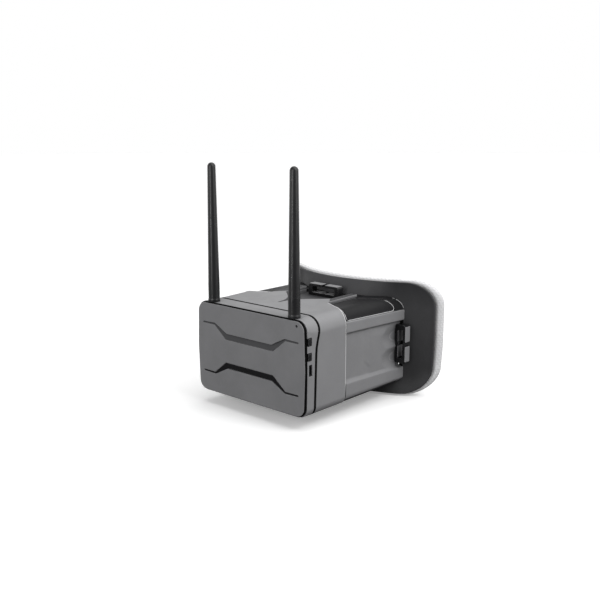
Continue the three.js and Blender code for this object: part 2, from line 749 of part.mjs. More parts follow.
// The socket's mouth in Y and Z: a rectangle with its two rear corners cut.
function usbOutline(inset) {
  const [y0, y1] = [usb.y[0] + inset, usb.y[1] - inset];
  const [z0, z1] = [usb.z[0] + inset, usb.z[1] - inset];
  return [[y0, z0], [y1 - 1.1, z0], [y1, z0 + 1.1], [y1, z1 - 1.1], [y1 - 1.1, z1], [y0, z1]];
}

function buildButtons() {
  for (const { name, z0, z1 } of buttons) {
    const mid = (z0 + z1) / 2;
    const cap = roundedOutline(2.7, 3.1, 7.1, 0.8, 0.8, 3);
    const face = new THREE.ExtrudeGeometry(shapeOf(cap), { depth: 4.1, bevelEnabled: false });
    const turn = new THREE.Matrix4().set(0, 0, 1, 0, 0, 1, 0, 0, -1, 0, 0, 0, 0, 0, 0, 1);
    addMesh(`button_${name}`, face.applyMatrix4(turn).translate(56.4, 0, mid), 'black');
    const body = toSolid(block([50.4, 54.6], [3.4, 11.7], [mid - 2.1, mid + 2.1]));
    const plunger = toSolid(block([54.4, 55.5], [4.4, 5.8], [mid - 0.8, mid + 0.8]));
    addMesh(`switch_${name}`, toGeometry(body.add(plunger)), 'black');
  }
}

// ---------------------------------------------------------------- aerials
function buildAerials() {
  for (const [name, side] of [['left', -1], ['right', 1]]) {
    const place = [side * antennaHalfSpacing, antennaDepth, 0];
    const jack = turned([
      [0, 64], [1.6, 64], [1.6, 72], [jackRadius, 72], [jackRadius, 82],
      [2.4, 82.5], [1.1, 82.5], [1.1, 78], [0, 78],
    ], 16);
    addMesh(`antenna_jack_${name}`, jack.translate(...place), 'brass');
    const tip = antennaFoot + antennaLength;
    const profile = [[3.2, antennaFoot], [4.9, antennaFoot], [4.9, 78.4]];
    profile.push([antennaRadius, 79], [antennaRadius, 92]);
    const domed = tip - 3.2;
    profile.push([antennaTipRadius, domed]);
    for (let i = 1; i <= 4; i += 1) {
      const angle = (i / 4) * (Math.PI / 2);
      profile.push([antennaTipRadius * Math.cos(angle), domed + 3.2 * Math.sin(angle)]);
    }
    profile.push([0, tip - 14], [1.0, tip - 14], [1.0, 85], [3.2, 84]);
    const sleeve = turned(profile.concat([profile[0]]), 24);
    addMesh(`antenna_sleeve_${name}`, sleeve.translate(...place), 'black');
    const wire = turned([[0, 79], [0.7, 79], [0.7, tip - 15], [0, tip - 15]], 10);
    addMesh(`antenna_wire_${name}`, wire.translate(...place), 'brass');
  }
}

function buildLightPipe() {
  addMesh('led_light_pipe', rod(0.7, 0.5, 11.7, 12).translate(lightX, 0, lightZ), 'clear');
}

buildFrontPlate();
buildGrooveInlays();
buildPlateSeal();
buildLightPipe();
buildModuleBand();
buildSeamSeal();
buildHousing();
buildTopCovers();
buildBodyShell();
buildSidePanels();
buildBottomCover();
buildFaceFlange();
buildPadBacking();
buildFacePad();
buildBrackets();
buildBracketScrews();
buildOptics();
buildDisplay();
buildBoard();
buildUsb();
buildButtons();
buildAerials();

group.position.set(...frameShift);
export default group;
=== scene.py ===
"""Looks of a pair of box goggles for flying model aircraft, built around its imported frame."""

import logging
import math
from dataclasses import dataclass
from enum import Enum
from typing import Iterable, Sequence

import bmesh
import bpy
import numpy as np
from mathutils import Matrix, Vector


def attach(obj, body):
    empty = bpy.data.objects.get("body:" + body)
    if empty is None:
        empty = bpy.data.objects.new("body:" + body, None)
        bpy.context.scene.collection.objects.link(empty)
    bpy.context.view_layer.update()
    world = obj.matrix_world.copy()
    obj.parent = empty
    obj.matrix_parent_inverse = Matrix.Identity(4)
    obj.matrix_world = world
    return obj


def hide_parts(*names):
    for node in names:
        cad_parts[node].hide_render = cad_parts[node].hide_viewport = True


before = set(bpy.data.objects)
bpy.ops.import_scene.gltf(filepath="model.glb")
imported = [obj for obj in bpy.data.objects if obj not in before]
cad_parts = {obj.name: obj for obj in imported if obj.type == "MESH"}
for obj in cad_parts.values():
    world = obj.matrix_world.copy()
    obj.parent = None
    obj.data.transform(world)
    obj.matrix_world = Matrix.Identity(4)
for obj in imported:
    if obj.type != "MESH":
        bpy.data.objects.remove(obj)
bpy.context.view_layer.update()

MM = 0.001
SHIFT = (0.0, -74.5, 11.0)

# Sizes that several sub-assemblies share, in the drawing's millimetres.
CASE_HALF = 60.0
CASE_HEIGHT = 76.0
CASE_RISE = 2.4
CASE_SETTLE = 45.0
JUNCTION = 98.0
JUNCTION_CURVE = 0.0081
LOG = logging.getLogger("goggles")

Point = tuple[float, float, float]
Colour = tuple[float, float, float]


class Body(Enum):
    """The bodies that pieces ride on."""

    GOGGLES = "goggles"
    AERIAL_LEFT = "antenna_left"
    AERIAL_RIGHT = "antenna_right"
    BUTTON_UP = "button_up"
    BUTTON_DOWN = "button_down"


class Slot(Enum):
    """The record's material slots."""

    PLATE = "plate"
    SHELL = "shell_grey"
    BODY = "body_grey"
    COVER = "cover_grey"
    FLANGE = "flange_grey"
    GLOSS = "black_gloss"
    MATTE = "black_matte"
    AERIAL = "antenna_black"
    SEAL = "seal"
    FOAM = "pad_foam"
    CLEAR = "clear"
    LENS = "lens_clear"
    SCREEN = "screen_glass"
    BOARD = "board_green"
    WRAP = "wrap_blue"
    STEEL = "steel"
    BRASS = "brass"


class Side(Enum):
    """The wearer's sides, as the sign of X."""

    LEFT = -1
    RIGHT = 1

    @property
    def word(self) -> str:
        """Name of the side in lower case."""
        return self.name.lower()


# ---------------------------------------------------------------- node helpers
class Nodes:
    """A material's node tree, with short calls to add nodes and join them."""

    def __init__(self, name: str) -> None:
        """Start an empty node material.

        Args:
            name: Name of the material.
        """
        self.material = bpy.data.materials.new(name)
        self.material.use_nodes = True
        self.tree = self.material.node_tree
        self.tree.nodes.clear()
        self.output = self.tree.nodes.new("ShaderNodeOutputMaterial")
        self.place = self.add("ShaderNodeTexCoord").outputs["Object"]

    def add(self, kind: str, **values: object) -> bpy.types.Node:
        """Add a node and set its properties or inputs by name.

        Args:
            kind: Blender's type of node.
            values: Properties, or inputs with their spaces written as underscores.

        Returns:
            The new node.
        """
        node = self.tree.nodes.new(kind)
        for key, value in values.items():
            if hasattr(node, key):
                setattr(node, key, value)
                continue
            socket = node.inputs[key.replace("_", " ")]
            if isinstance(value, bpy.types.NodeSocket):
                self.tree.links.new(value, socket)
            else:
                socket.default_value = value
        return node

    def join(self, start: bpy.types.NodeSocket, end: bpy.types.NodeSocket) -> None:
        """Link two sockets."""
        self.tree.links.new(start, end)

    def stretched(self, scale: Point) -> bpy.types.NodeSocket:
        """Object coordinates with their own scale on each axis."""
        node = self.add("ShaderNodeMapping", Vector=self.place)
        node.inputs["Scale"].default_value = scale
        return node.outputs["Vector"]

    def noise(
        self,
        size: float,
        detail: float = 2.0,
        vector: bpy.types.NodeSocket | None = None,
        warp: float = 0.0,
    ) -> bpy.types.NodeSocket:
        """Add smooth noise.

        Args:
            size: Width of its patches in metres.
            detail: Octaves of detail.
            vector: Coordinates to use in place of the object's.
            warp: Distortion of the patches.

        Returns:
            The noise's factor.
        """
        node = self.add(
            "ShaderNodeTexNoise",
            Vector=vector or self.place,
            Scale=1.0 / size,
            Detail=detail,
            Distortion=warp,
        )
        return node.outputs["Fac"]

    def spread(
        self, factor: bpy.types.NodeSocket, low: float, high: float, start: float = 0.3, end: float = 0.7
    ) -> bpy.types.NodeSocket:
        """Map a factor from start..end on to low..high."""
        node = self.add("ShaderNodeMapRange", Value=factor, From_Min=start, From_Max=end)
        node.inputs["To Min"].default_value = low
        node.inputs["To Max"].default_value = high
        return node.outputs["Result"]

    def blend(
        self,
        factor: bpy.types.NodeSocket,
        first: Colour | bpy.types.NodeSocket,
        second: Colour | bpy.types.NodeSocket,
    ) -> bpy.types.NodeSocket:
        """Mix two colours by a factor that varies over the surface.

        Args:
            factor: Share of the second colour.
            first: First colour or socket.
            second: Second colour or socket.

        Returns:
            The mixed colour.
        """
        node = self.tree.nodes.new("ShaderNodeMix")
        node.data_type = "RGBA"
        self.join(factor, node.inputs[0])
        for socket, value in ((node.inputs[6], first), (node.inputs[7], second)):
            if isinstance(value, bpy.types.NodeSocket):
                self.join(value, socket)
            else:
                socket.default_value = (*value, 1.0)
        return node.outputs[2]

    def maths(
        self, operation: str, first: bpy.types.NodeSocket, second: float | bpy.types.NodeSocket
    ) -> bpy.types.NodeSocket:
        """One sum on a varying value."""
        node = self.tree.nodes.new("ShaderNodeMath")
        node.operation = operation
        self.join(first, node.inputs[0])
        if isinstance(second, bpy.types.NodeSocket):
            self.join(second, node.inputs[1])
        else:
            node.inputs[1].default_value = second
        return node.outputs[0]

    def bump(
        self,
        height: bpy.types.NodeSocket,
        depth: float,
        strength: float = 1.0,
        normal: bpy.types.NodeSocket | None = None,
    ) -> bpy.types.NodeSocket:
        """Turn a height from 0 to 1 into a shading normal, depth metres deep."""
        node = self.add("ShaderNodeBump", Height=height, Distance=depth, Strength=strength)
        if normal is not None:
            self.join(normal, node.inputs["Normal"])
        return node.outputs["Normal"]

    def edges(self, radius: float) -> bpy.types.NodeSocket:
        """Mask that is 1 on edges and 0 on flat faces.

        Args:
            radius: Half width of the worn line along an edge, which on the light case is partly a painted
                highlight, in metres.

        Returns:
            The mask.
        """
        bevel = self.tree.nodes.new("ShaderNodeBevel")
        bevel.samples = 3
        bevel.inputs["Radius"].default_value = radius
        dot = self.tree.nodes.new("ShaderNodeVectorMath")
        dot.operation = "DOT_PRODUCT"
        self.join(bevel.outputs["Normal"], dot.inputs[0])
        self.join(self.add("ShaderNodeNewGeometry").outputs["Normal"], dot.inputs[1])
        return self.spread(dot.outputs["Value"], 1.0, 0.0, 0.82, 0.995)

    def sky_share_for_painted_shade(self, reach: float) -> bpy.types.NodeSocket:
        """Share of the sky a point sees: low in corners and close gaps, where it is used to paint shade."""
        node = self.tree.nodes.new("ShaderNodeAmbientOcclusion")
        node.samples = 6
        node.inputs["Distance"].default_value = reach
        return node.outputs["AO"]

    def finish(self, shader: bpy.types.Node) -> bpy.types.Material:
        """Join the shader to the output and hand over the material."""
        self.join(shader.outputs[0], self.output.inputs["Surface"])
        return self.material


def shade(colour: Colour, share: float) -> Colour:
    """The colour made lighter or darker by a factor."""
    return (min(1.0, colour[0] * share), min(1.0, colour[1] * share), min(1.0, colour[2] * share))


# ---------------------------------------------------------------- finishes
@dataclass(frozen=True)
class Moulding:
    """Grained moulded plastic or rubber."""

    name: str
    colour: Colour
    roughness: float = 0.45
    grain: float = 0.0007
    grain_depth: float = 0.00003
    mottle: float = 0.06
    wear: float = 0.35
    wear_and_highlight_colour: Colour = (0.5, 0.5, 0.51)
    edge: float = 0.00045
    coat: float = 0.0
    sheen: float = 0.0
    shine: float = 0.5
    painted_shade_reach: float = 0.009

    def material(self) -> bpy.types.Material:
        """Build the plastic: mottled colour, moulded grain, scuffed edges (on the light case partly a painted
        highlight), painted shade in corners and close gaps, and uneven gloss.

        Returns:
            The material.
        """
        n = Nodes(self.name)
        cloud = n.noise(0.021, 4.0, warp=0.4)
        fine = n.noise(0.0016, 3.0)
        low, high = shade(self.colour, 1 - self.mottle), shade(self.colour, 1 + self.mottle)
        tone = n.blend(n.spread(cloud, 0.0, 1.0), low, high)
        flecks = n.spread(fine, 0.0, 0.35, 0.5, 0.8)
        tone = n.blend(flecks, tone, shade(self.colour, 1 + 2.2 * self.mottle))
        # Edge wear: lighter scuffs along the edges, on the light case partly a painted highlight as well.
        edge_wear_and_highlight = n.maths("MULTIPLY", n.edges(self.edge), n.spread(n.noise(0.006, 4.0), 0.15, self.wear))
        tone = n.blend(edge_wear_and_highlight, tone, self.wear_and_highlight_colour)
        # Painted shade: the colour falls towards a quarter of itself in corners and close gaps, where little
        # sky is seen.
        unshaded_share = n.spread(n.sky_share_for_painted_shade(self.painted_shade_reach), 0.0, 1.0, 0.15, 0.85)
        tone = n.blend(unshaded_share, shade(self.colour, 0.25), tone)
        rough = n.spread(n.noise(0.012, 5.0, warp=0.8), self.roughness - 0.05, self.roughness + 0.06)
        smears = n.noise(0.05, 3.0, n.stretched((1.0, 1.0, 4.0)))
        rough = n.maths("ADD", rough, n.spread(smears, -0.03, 0.03))
        coarse = n.bump(n.noise(self.grain * 3.2, 2.0), self.grain_depth * 1.6, 0.5)
        skin = n.bump(n.noise(self.grain, 2.0), self.grain_depth, 0.8, coarse)
        shader = n.add("ShaderNodeBsdfPrincipled", Base_Color=tone, Roughness=rough, Normal=skin)
        shader.inputs["IOR"].default_value = 1.48
        shader.inputs["Specular IOR Level"].default_value = self.shine
        shader.inputs["Coat Weight"].default_value = self.coat
        shader.inputs["Coat Roughness"].default_value = 0.2
        shader.inputs["Sheen Weight"].default_value = self.sheen
        shader.inputs["Sheen Roughness"].default_value = 0.5
        return n.finish(shader)


@dataclass(frozen=True)
class FoamCloth:
    """Knitted cloth on soft foam."""

    name: str
    colour: Colour
    thread: float = 0.0011

    def material(self) -> bpy.types.Material:
        """Build the cloth: a fine knit of loops, fuzz, soft mottling and a sheen.

        Returns:
            The material.
        """
        n = Nodes(self.name)
        bands = []
        for direction in ("Z", "DIAGONAL"):
            wave = n.add("ShaderNodeTexWave", Vector=n.place, Scale=0.16 / self.thread, Distortion=1.2)
            wave.inputs["Detail"].default_value = 2.0
            wave.inputs["Detail Scale"].default_value = 2.0
            wave.bands_direction = direction
            bands.append(wave.outputs["Fac"])
        knit = n.maths("MULTIPLY", *bands)
        cells = n.add("ShaderNodeTexVoronoi", Vector=n.place, Scale=1.0 / (self.thread * 1.6))
        loops = n.maths("ADD", knit, n.maths("MULTIPLY", cells.outputs["Distance"], 0.8))
        raised = n.spread(loops, 0.0, 1.0, 0.1, 0.9)
        tone = n.blend(raised, shade(self.colour, 0.84), shade(self.colour, 1.06))
        cloud = n.spread(n.noise(0.03, 4.0), 0.0, 0.5)
        tone = n.blend(cloud, tone, shade(self.colour, 0.9))
        rough = n.spread(n.noise(0.004, 4.0), 0.86, 0.98)
        soft = n.bump(n.noise(0.009, 3.0), 0.0004, 0.5)
        skin = n.bump(loops, 0.00025, 0.6, soft)
        shader = n.add("ShaderNodeBsdfPrincipled", Base_Color=tone, Roughness=rough, Normal=skin)
        shader.inputs["Sheen Weight"].default_value = 0.35
        shader.inputs["Sheen Roughness"].default_value = 0.4
        shader.inputs["IOR"].default_value = 1.4
        return n.finish(shader)


@dataclass(frozen=True)
class Metal:
    """Drawn or turned metal with fine lines."""

    name: str
    colour: Colour
    roughness: float = 0.28

    def material(self) -> bpy.types.Material:
        """Build the metal: fine lines along X and Z, tarnish patches and worn gloss.

        Returns:
            The material.
        """
        n = Nodes(self.name)
        lines = n.noise(0.0009, 3.0, n.stretched((1.0, 12.0, 1.0)))
        tarnish = n.noise(0.004, 4.0)
        tone = n.blend(n.spread(tarnish, 0.0, 1.0), shade(self.colour, 0.78), self.colour)
        rough = n.spread(lines, self.roughness - 0.08, self.roughness + 0.14)
        skin = n.bump(lines, 0.00002, 0.5)
        shader = n.add("ShaderNodeBsdfPrincipled", Base_Color=tone, Roughness=rough, Normal=skin)
        shader.inputs["Metallic"].default_value = 1.0
        return n.finish(shader)


@dataclass(frozen=True)
class ClearPlastic:
    """Clear moulded plastic, plain or with the ring steps of a flat lens."""

    name: str
    tint: Colour
    ring_step: float = 0.0
    centre: Point = (0.0, 0.0, 0.0)

    def material(self) -> bpy.types.Material:
        """Build the clear plastic.

        Returns:
            The material.
        """
        n = Nodes(self.name)
        dust = n.noise(0.003, 5.0)
        rough = n.spread(dust, 0.03, 0.16)
        tone = n.blend(n.spread(n.noise(0.02, 3.0), 0.0, 1.0), self.tint, shade(self.tint, 0.93))
        height = n.noise(0.006, 2.0)
        depth = 0.00001
        if self.ring_step:
            mapping = n.add("ShaderNodeMapping", Vector=n.place)
            mapping.inputs["Location"].default_value = (-self.centre[0], -self.centre[1], -self.centre[2])
            rings = n.add("ShaderNodeTexWave", Vector=mapping.outputs["Vector"], Scale=0.159 / self.ring_step)
            rings.wave_type = "RINGS"
            rings.rings_direction = "Y"
            rings.wave_profile = "SAW"
            height = rings.outputs["Fac"]
            depth = self.ring_step * 0.35
        skin = n.bump(height, depth, 0.7)
        shader = n.add("ShaderNodeBsdfPrincipled", Base_Color=tone, Roughness=rough, Normal=skin)
        shader.inputs["Transmission Weight"].default_value = 0.96
        shader.inputs["IOR"].default_value = 1.49
        return n.finish(shader)


@dataclass(frozen=True)
class BoardLacquer:
    """Green lacquer over the tracks of a circuit board."""

    name: str
    colour: Colour

    def material(self) -> bpy.types.Material:
        """Build the board: raised tracks, bare pads and dull lacquer.

        Returns:
            The material.
        """
        n = Nodes(self.name)
        cells = n.add("ShaderNodeTexVoronoi", Vector=n.place, Scale=220.0)
        cells.distance = "MANHATTAN"
        tracks = n.spread(cells.outputs["Distance"], 0.0, 1.0, 0.35, 0.45)
        tone = n.blend(tracks, self.colour, shade(self.colour, 1.9))
        pads = n.add("ShaderNodeTexVoronoi", Vector=n.place, Scale=330.0)
        bare = n.spread(pads.outputs["Distance"], 1.0, 0.0, 0.12, 0.16)
        tone = n.blend(bare, tone, (0.62, 0.5, 0.22))
        rough = n.spread(n.noise(0.01, 4.0), 0.25, 0.42)
        skin = n.bump(tracks, 0.00005, 0.6)
        shader = n.add("ShaderNodeBsdfPrincipled", Base_Color=tone, Roughness=rough, Normal=skin)
        shader.inputs["Coat Weight"].default_value = 0.3
        return n.finish(shader)


FINISHES = {
    Slot.PLATE: Moulding("satin_plate", (0.2, 0.2, 0.207), 0.42, wear=0.3),
    # The light case's pale edge colour and larger edge amount are partly wear and partly a painted highlight
    # along its edges.
    Slot.SHELL: Moulding(
        "light_grey_case", (0.24, 0.24, 0.247), 0.44, mottle=0.04, wear=0.45, wear_and_highlight_colour=(0.7, 0.7, 0.71)
    ),
    Slot.BODY: Moulding("body_grey_moulding", (0.23, 0.23, 0.237), 0.5, wear=0.35, painted_shade_reach=0.016),
    Slot.COVER: Moulding("dark_cover_moulding", (0.015, 0.015, 0.016), 0.42, wear=0.3, shine=0.12),
    Slot.FLANGE: Moulding(
        "charcoal_face_frame", (0.058, 0.058, 0.061), 0.55, grain=0.0009, wear=0.25, shine=0.3, painted_shade_reach=0.09
    ),
    Slot.GLOSS: Moulding("black_bright_moulding", (0.01, 0.01, 0.011), 0.28, coat=0.15, wear=0.4, shine=0.3),
    Slot.MATTE: Moulding("black_matt_moulding", (0.01, 0.01, 0.011), 0.6, wear=0.15, shine=0.15),
    Slot.AERIAL: Moulding(
        "aerial_rubber", (0.011, 0.011, 0.012), 0.3, grain=0.0005, wear=0.2, wear_and_highlight_colour=(0.1, 0.1, 0.1)
    ),
    Slot.SEAL: Moulding(
        "black_seal_rubber", (0.003, 0.003, 0.003), 0.8, wear=0.05, shine=0.05, wear_and_highlight_colour=(0.05, 0.05, 0.05)
    ),
    Slot.FOAM: FoamCloth("grey_foam_cloth", (0.76, 0.76, 0.768)),
    Slot.CLEAR: ClearPlastic("clear_plastic", (0.9, 0.93, 0.95)),
    Slot.LENS: ClearPlastic("stepped_lens", (0.93, 0.95, 0.97), 0.0009, (0.0, 0.0, 0.047)),
    Slot.SCREEN: Moulding(
        "display_face", (0.006, 0.007, 0.009), 0.12, grain_depth=0.000004, coat=0.8, wear=0.1
    ),
    Slot.BOARD: BoardLacquer("green_board", (0.02, 0.09, 0.045)),
    Slot.WRAP: Moulding(
        "blue_shrink_wrap", (0.04, 0.1, 0.22), 0.3, grain=0.003, grain_depth=0.00008, coat=0.2
    ),
    Slot.STEEL: Metal("plain_steel", (0.6, 0.6, 0.62)),
    Slot.BRASS: Metal("plated_brass", (0.72, 0.5, 0.18), 0.22),
}
# Painted highlight: a light finish for thin beads that stand for the light caught along edges.
PAINTED_HIGHLIGHT_EDGE = Moulding("painted_highlight_edge", (0.72, 0.72, 0.73), 0.4, wear=0.2, painted_shade_reach=0.002)
MADE: dict[Slot, bpy.types.Material] = {}


def painted_highlight_edge() -> bpy.types.Material:
    """Finish of the thin light beads along the edges of the housing and the covers: a painted highlight
    standing for the light those edges catch.
    """
    return bpy.data.materials.get("painted_highlight_edge") or PAINTED_HIGHLIGHT_EDGE.material()


def finish_of(slot: Slot) -> bpy.types.Material:
    """The slot's material, built the first time it is asked for."""
    if slot not in MADE:
        MADE[slot] = FINISHES[slot].material()
    return MADE[slot]


# ---------------------------------------------------------------- mesh helpers
def placed(point: Sequence[float]) -> Point:
    """A drawing point in millimetres as a frame point in metres."""
    return tuple((point[i] + SHIFT[i]) * MM for i in range(3))


def smooth_step(start: float, end: float, value: float) -> float:
    """Smooth rise from 0 at start to 1 at end."""
    t = min(1.0, max(0.0, (value - start) / (end - start)))
    return t * t * (3 - 2 * t)


def case_top(y: float) -> float:
    """Level of the case's crowned top at a depth."""
    return CASE_HEIGHT + CASE_RISE * (1 - math.exp(-y / CASE_SETTLE))


def quarter_arc(x: float, z: float, radius: float, quarter: int, steps: int) -> list[tuple[float, float]]:
    """Points on a quarter of a circle.

    Args:
        x: Centre along the first axis.
        z: Centre along the second axis.
        radius: Radius of the circle.
        quarter: Where it starts, in quarter turns from the first axis.
        steps: Points less one.

    Returns:
        The points in order.
    """
    turns = [(quarter + i / steps) * math.pi / 2 for i in range(steps + 1)]
    return [(x + radius * math.cos(a), z + radius * math.sin(a)) for a in turns]


def sided(side: Side, points: Iterable[Point]) -> list[Point]:
    """The same points on one of the wearer's sides."""
    return [(side.value * x, y, z) for x, y, z in points]


def new_object(name: str, mesh: bpy.types.Mesh) -> bpy.types.Object:
    """Put a mesh into the scene as an object."""
    piece = bpy.data.objects.new(name, mesh)
    bpy.context.scene.collection.objects.link(piece)
    return piece


def shade_smooth(piece: bpy.types.Object, angle: float = 34.0) -> bpy.types.Object:
    """Smooth the shading of faces that meet under an angle in degrees, and weigh normals by area."""
    piece.data.polygons.foreach_set("use_smooth", [True] * len(piece.data.polygons))
    piece.data.set_sharp_from_angle(angle=math.radians(angle))
    weigh = piece.modifiers.new("even_normals", "WEIGHTED_NORMAL")
    weigh.keep_sharp = True
    weigh.weight = 90
    return piece


def skin(name: str, rows: Sequence[Sequence[Point]], ring: bool = True) -> bpy.types.Object:
    """Make a mesh from rows of drawing points.

    Args:
        name: Name of the piece.
        rows: Rows with the same number of points each.
        ring: Whether the last row joins the first.

    Returns:
        The new object, its open ends closed by one face each.
    """
    count = len(rows[0])
    points = [placed(p) for row in rows for p in row]
    faces = []
    for s in range(len(rows) if ring else len(rows) - 1):
        n = (s + 1) % len(rows)
        for i in range(count):
            j = (i + 1) % count
            faces.append((s * count + i, s * count + j, n * count + j, n * count + i))
    if not ring:
        faces.append(tuple(range(count)))
        faces.append(tuple((len(rows) - 1) * count + i for i in range(count)))
    mesh = bpy.data.meshes.new(name)
    mesh.from_pydata(points, [], faces)
    work = bmesh.new()
    work.from_mesh(mesh)
    bmesh.ops.recalc_face_normals(work, faces=work.faces)
    work.to_mesh(mesh)
    work.free()
    return new_object(name, mesh)


def turned(
    name: str, profile: Sequence[tuple[float, float]], centre: tuple[float, float], steps: int = 48
) -> bpy.types.Object:
    """Turn a closed profile of radius and height about an upright axis.

    Args:
        name: Name of the piece.
        profile: Radius and height of each point, in millimetres.
        centre: X and Y of the axis.
        steps: Steps round the axis.

    Returns:
        The new object.
    """
    rows = []
    for k in range(steps):
        a = 2 * math.pi * k / steps
        rows.append([(centre[0] + r * math.cos(a), centre[1] + r * math.sin(a), z) for r, z in profile])
    piece = skin(name, rows)
    work = bmesh.new()
    work.from_mesh(piece.data)
    bmesh.ops.remove_doubles(work, verts=work.verts, dist=1e-6)
    bmesh.ops.dissolve_degenerate(work, edges=work.edges, dist=1e-6)
    work.to_mesh(piece.data)
    work.free()
    return piece


def rounded_outline(
    x: tuple[float, float], y: tuple[float, float], radius: float, steps: int = 5
) -> list[tuple[float, float]]:
    """Rectangle with rounded corners.

    Args:
        x: Its two ends along the first axis.
        y: Its two ends along the second axis.
        radius: Radius of the corners.
        steps: Points less one in each corner.

    Returns:
        The outline's points.
    """
    points = []
    corners = ((x[1], y[0], -1, 1, 3), (x[1], y[1], -1, -1, 0), (x[0], y[1], 1, -1, 1), (x[0], y[0], 1, 1, 2))
    for cx, cy, sx, sy, quarter in corners:
        points += quarter_arc(cx + sx * radius, cy + sy * radius, radius, quarter, steps)
    return points


def bead(name: str, path: Sequence[Point], radius: float, steps: int = 8) -> bpy.types.Object:
    """Run a thin round bead along a line of drawing points.

    Args:
        name: Name of the piece.
        path: The line's points.
        radius: Radius of the bead.
        steps: Points round it.

    Returns:
        The bead, its ends tapered shut.
    """
    line = [Vector(p) for p in path]
    rows = []
    side = None
    for i, point in enumerate(line):
        along = (line[min(i + 1, len(line) - 1)] - line[max(i - 1, 0)]).normalized()
        side = Vector((0, 0, 1)) if side is None else side
        if abs(side.dot(along)) > 0.95:
            side = Vector((1, 0, 0))
        side = (side - along * side.dot(along)).normalized()
        other = along.cross(side)
        size = radius * (0.25 if i in (0, len(line) - 1) else 1.0)
        turns = [2 * math.pi * k / steps for k in range(steps)]
        rows.append([tuple(point + (side * math.cos(a) + other * math.sin(a)) * size) for a in turns])
    return skin(name, rows, ring=False)


def finer(node: str, width: float = 0.35, steps: int = 2, angle: float = 28.0) -> bpy.types.Object:
    """Copy a frame node, merge its flat facets and round its edges.

    Args:
        node: Name of the node.
        width: Width of the rounding in millimetres.
        steps: Faces across each rounding.
        angle: Edges sharper than this, in degrees, are rounded.

    Returns:
        The new object, named after the node.
    """
    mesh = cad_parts[node].data.copy()
    work = bmesh.new()
    work.from_mesh(mesh)
    bmesh.ops.remove_doubles(work, verts=work.verts, dist=3e-6)
    bmesh.ops.dissolve_limit(work, angle_limit=math.radians(0.7), verts=work.verts, edges=work.edges)
    bmesh.ops.dissolve_degenerate(work, edges=work.edges, dist=8e-5)
    sharp = [
        e for e in work.edges if e.is_manifold and e.calc_face_angle(0.0) > math.radians(angle)
    ]
    if width and sharp:
        bmesh.ops.bevel(
            work,
            geom=sharp,
            offset=width * MM,
            offset_type="OFFSET",
            segments=steps,
            profile=0.5,
            affect="EDGES",
            clamp_overlap=False,
            miter_outer="ARC",
        )
    mesh.name = f"{node}_fine"
    mesh.materials.clear()
    work.to_mesh(mesh)
    work.free()
    return new_object(f"{node}_fine", mesh)


def dress(
    piece: bpy.types.Object,
    slot: Slot,
    body: Body,
    replaces: Iterable[str] = (),
    finish: bpy.types.Material | None = None,
) -> bpy.types.Object:
    """Give a piece its finish and its body, and hide the frame nodes it stands for.

    Args:
        piece: The piece.
        slot: The material slot it takes its finish from.
        body: The body it rides on.
        replaces: Frame nodes it stands for.
        finish: A material to use in place of the slot's own.

    Returns:
        The same piece.
    """
    piece.data.materials.clear()
    piece.data.materials.append(finish or finish_of(slot))
    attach(piece, body.value)
    if replaces:
        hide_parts(*replaces)
    LOG.info("%s: %s faces, %s", piece.name, len(piece.data.polygons), slot.value)
    return piece


def refine(
    nodes: Iterable[str], slot: Slot, width: float = 0.35, steps: int = 2, body: Body = Body.GOGGLES
) -> None:
    """Replace plain frame nodes by finer copies with rounded edges.

    Args:
        nodes: Names of the nodes.
        slot: Their material slot.
        width: Width of the rounding in millimetres.
        steps: Faces across each rounding.
        body: The body they ride on.
    """
    for node in nodes:
        dress(shade_smooth(finer(node, width, steps)), slot, body, [node])


def case_outline(y: float, out: float = 0.0) -> list[tuple[float, float]]:
    """Outline of the case at a depth, grown outwards.

    Args:
        y: Depth.
        out: How far it is grown.

    Returns:
        X and Z of each point.
    """
    half, high = CASE_HALF + out, case_top(y) + out
    upper = 8.5 + 4.5 * smooth_step(0, 17, y) + out
    lower = 7.5 + out
    side_levels = (20, 30, 40, 50, 54, 57, 59, 61, 62)
    points = quarter_arc(half - lower, lower - out, lower, 3, 16)
    points += [(half, z) for z in side_levels]
    points += quarter_arc(half - upper, high - upper, upper, 0, 16)
    points += quarter_arc(upper - half, high - upper, upper, 1, 16)
    points += [(-half, z) for z in reversed(side_levels)]
    points += quarter_arc(lower - half, lower - out, lower, 2, 16)
    return points


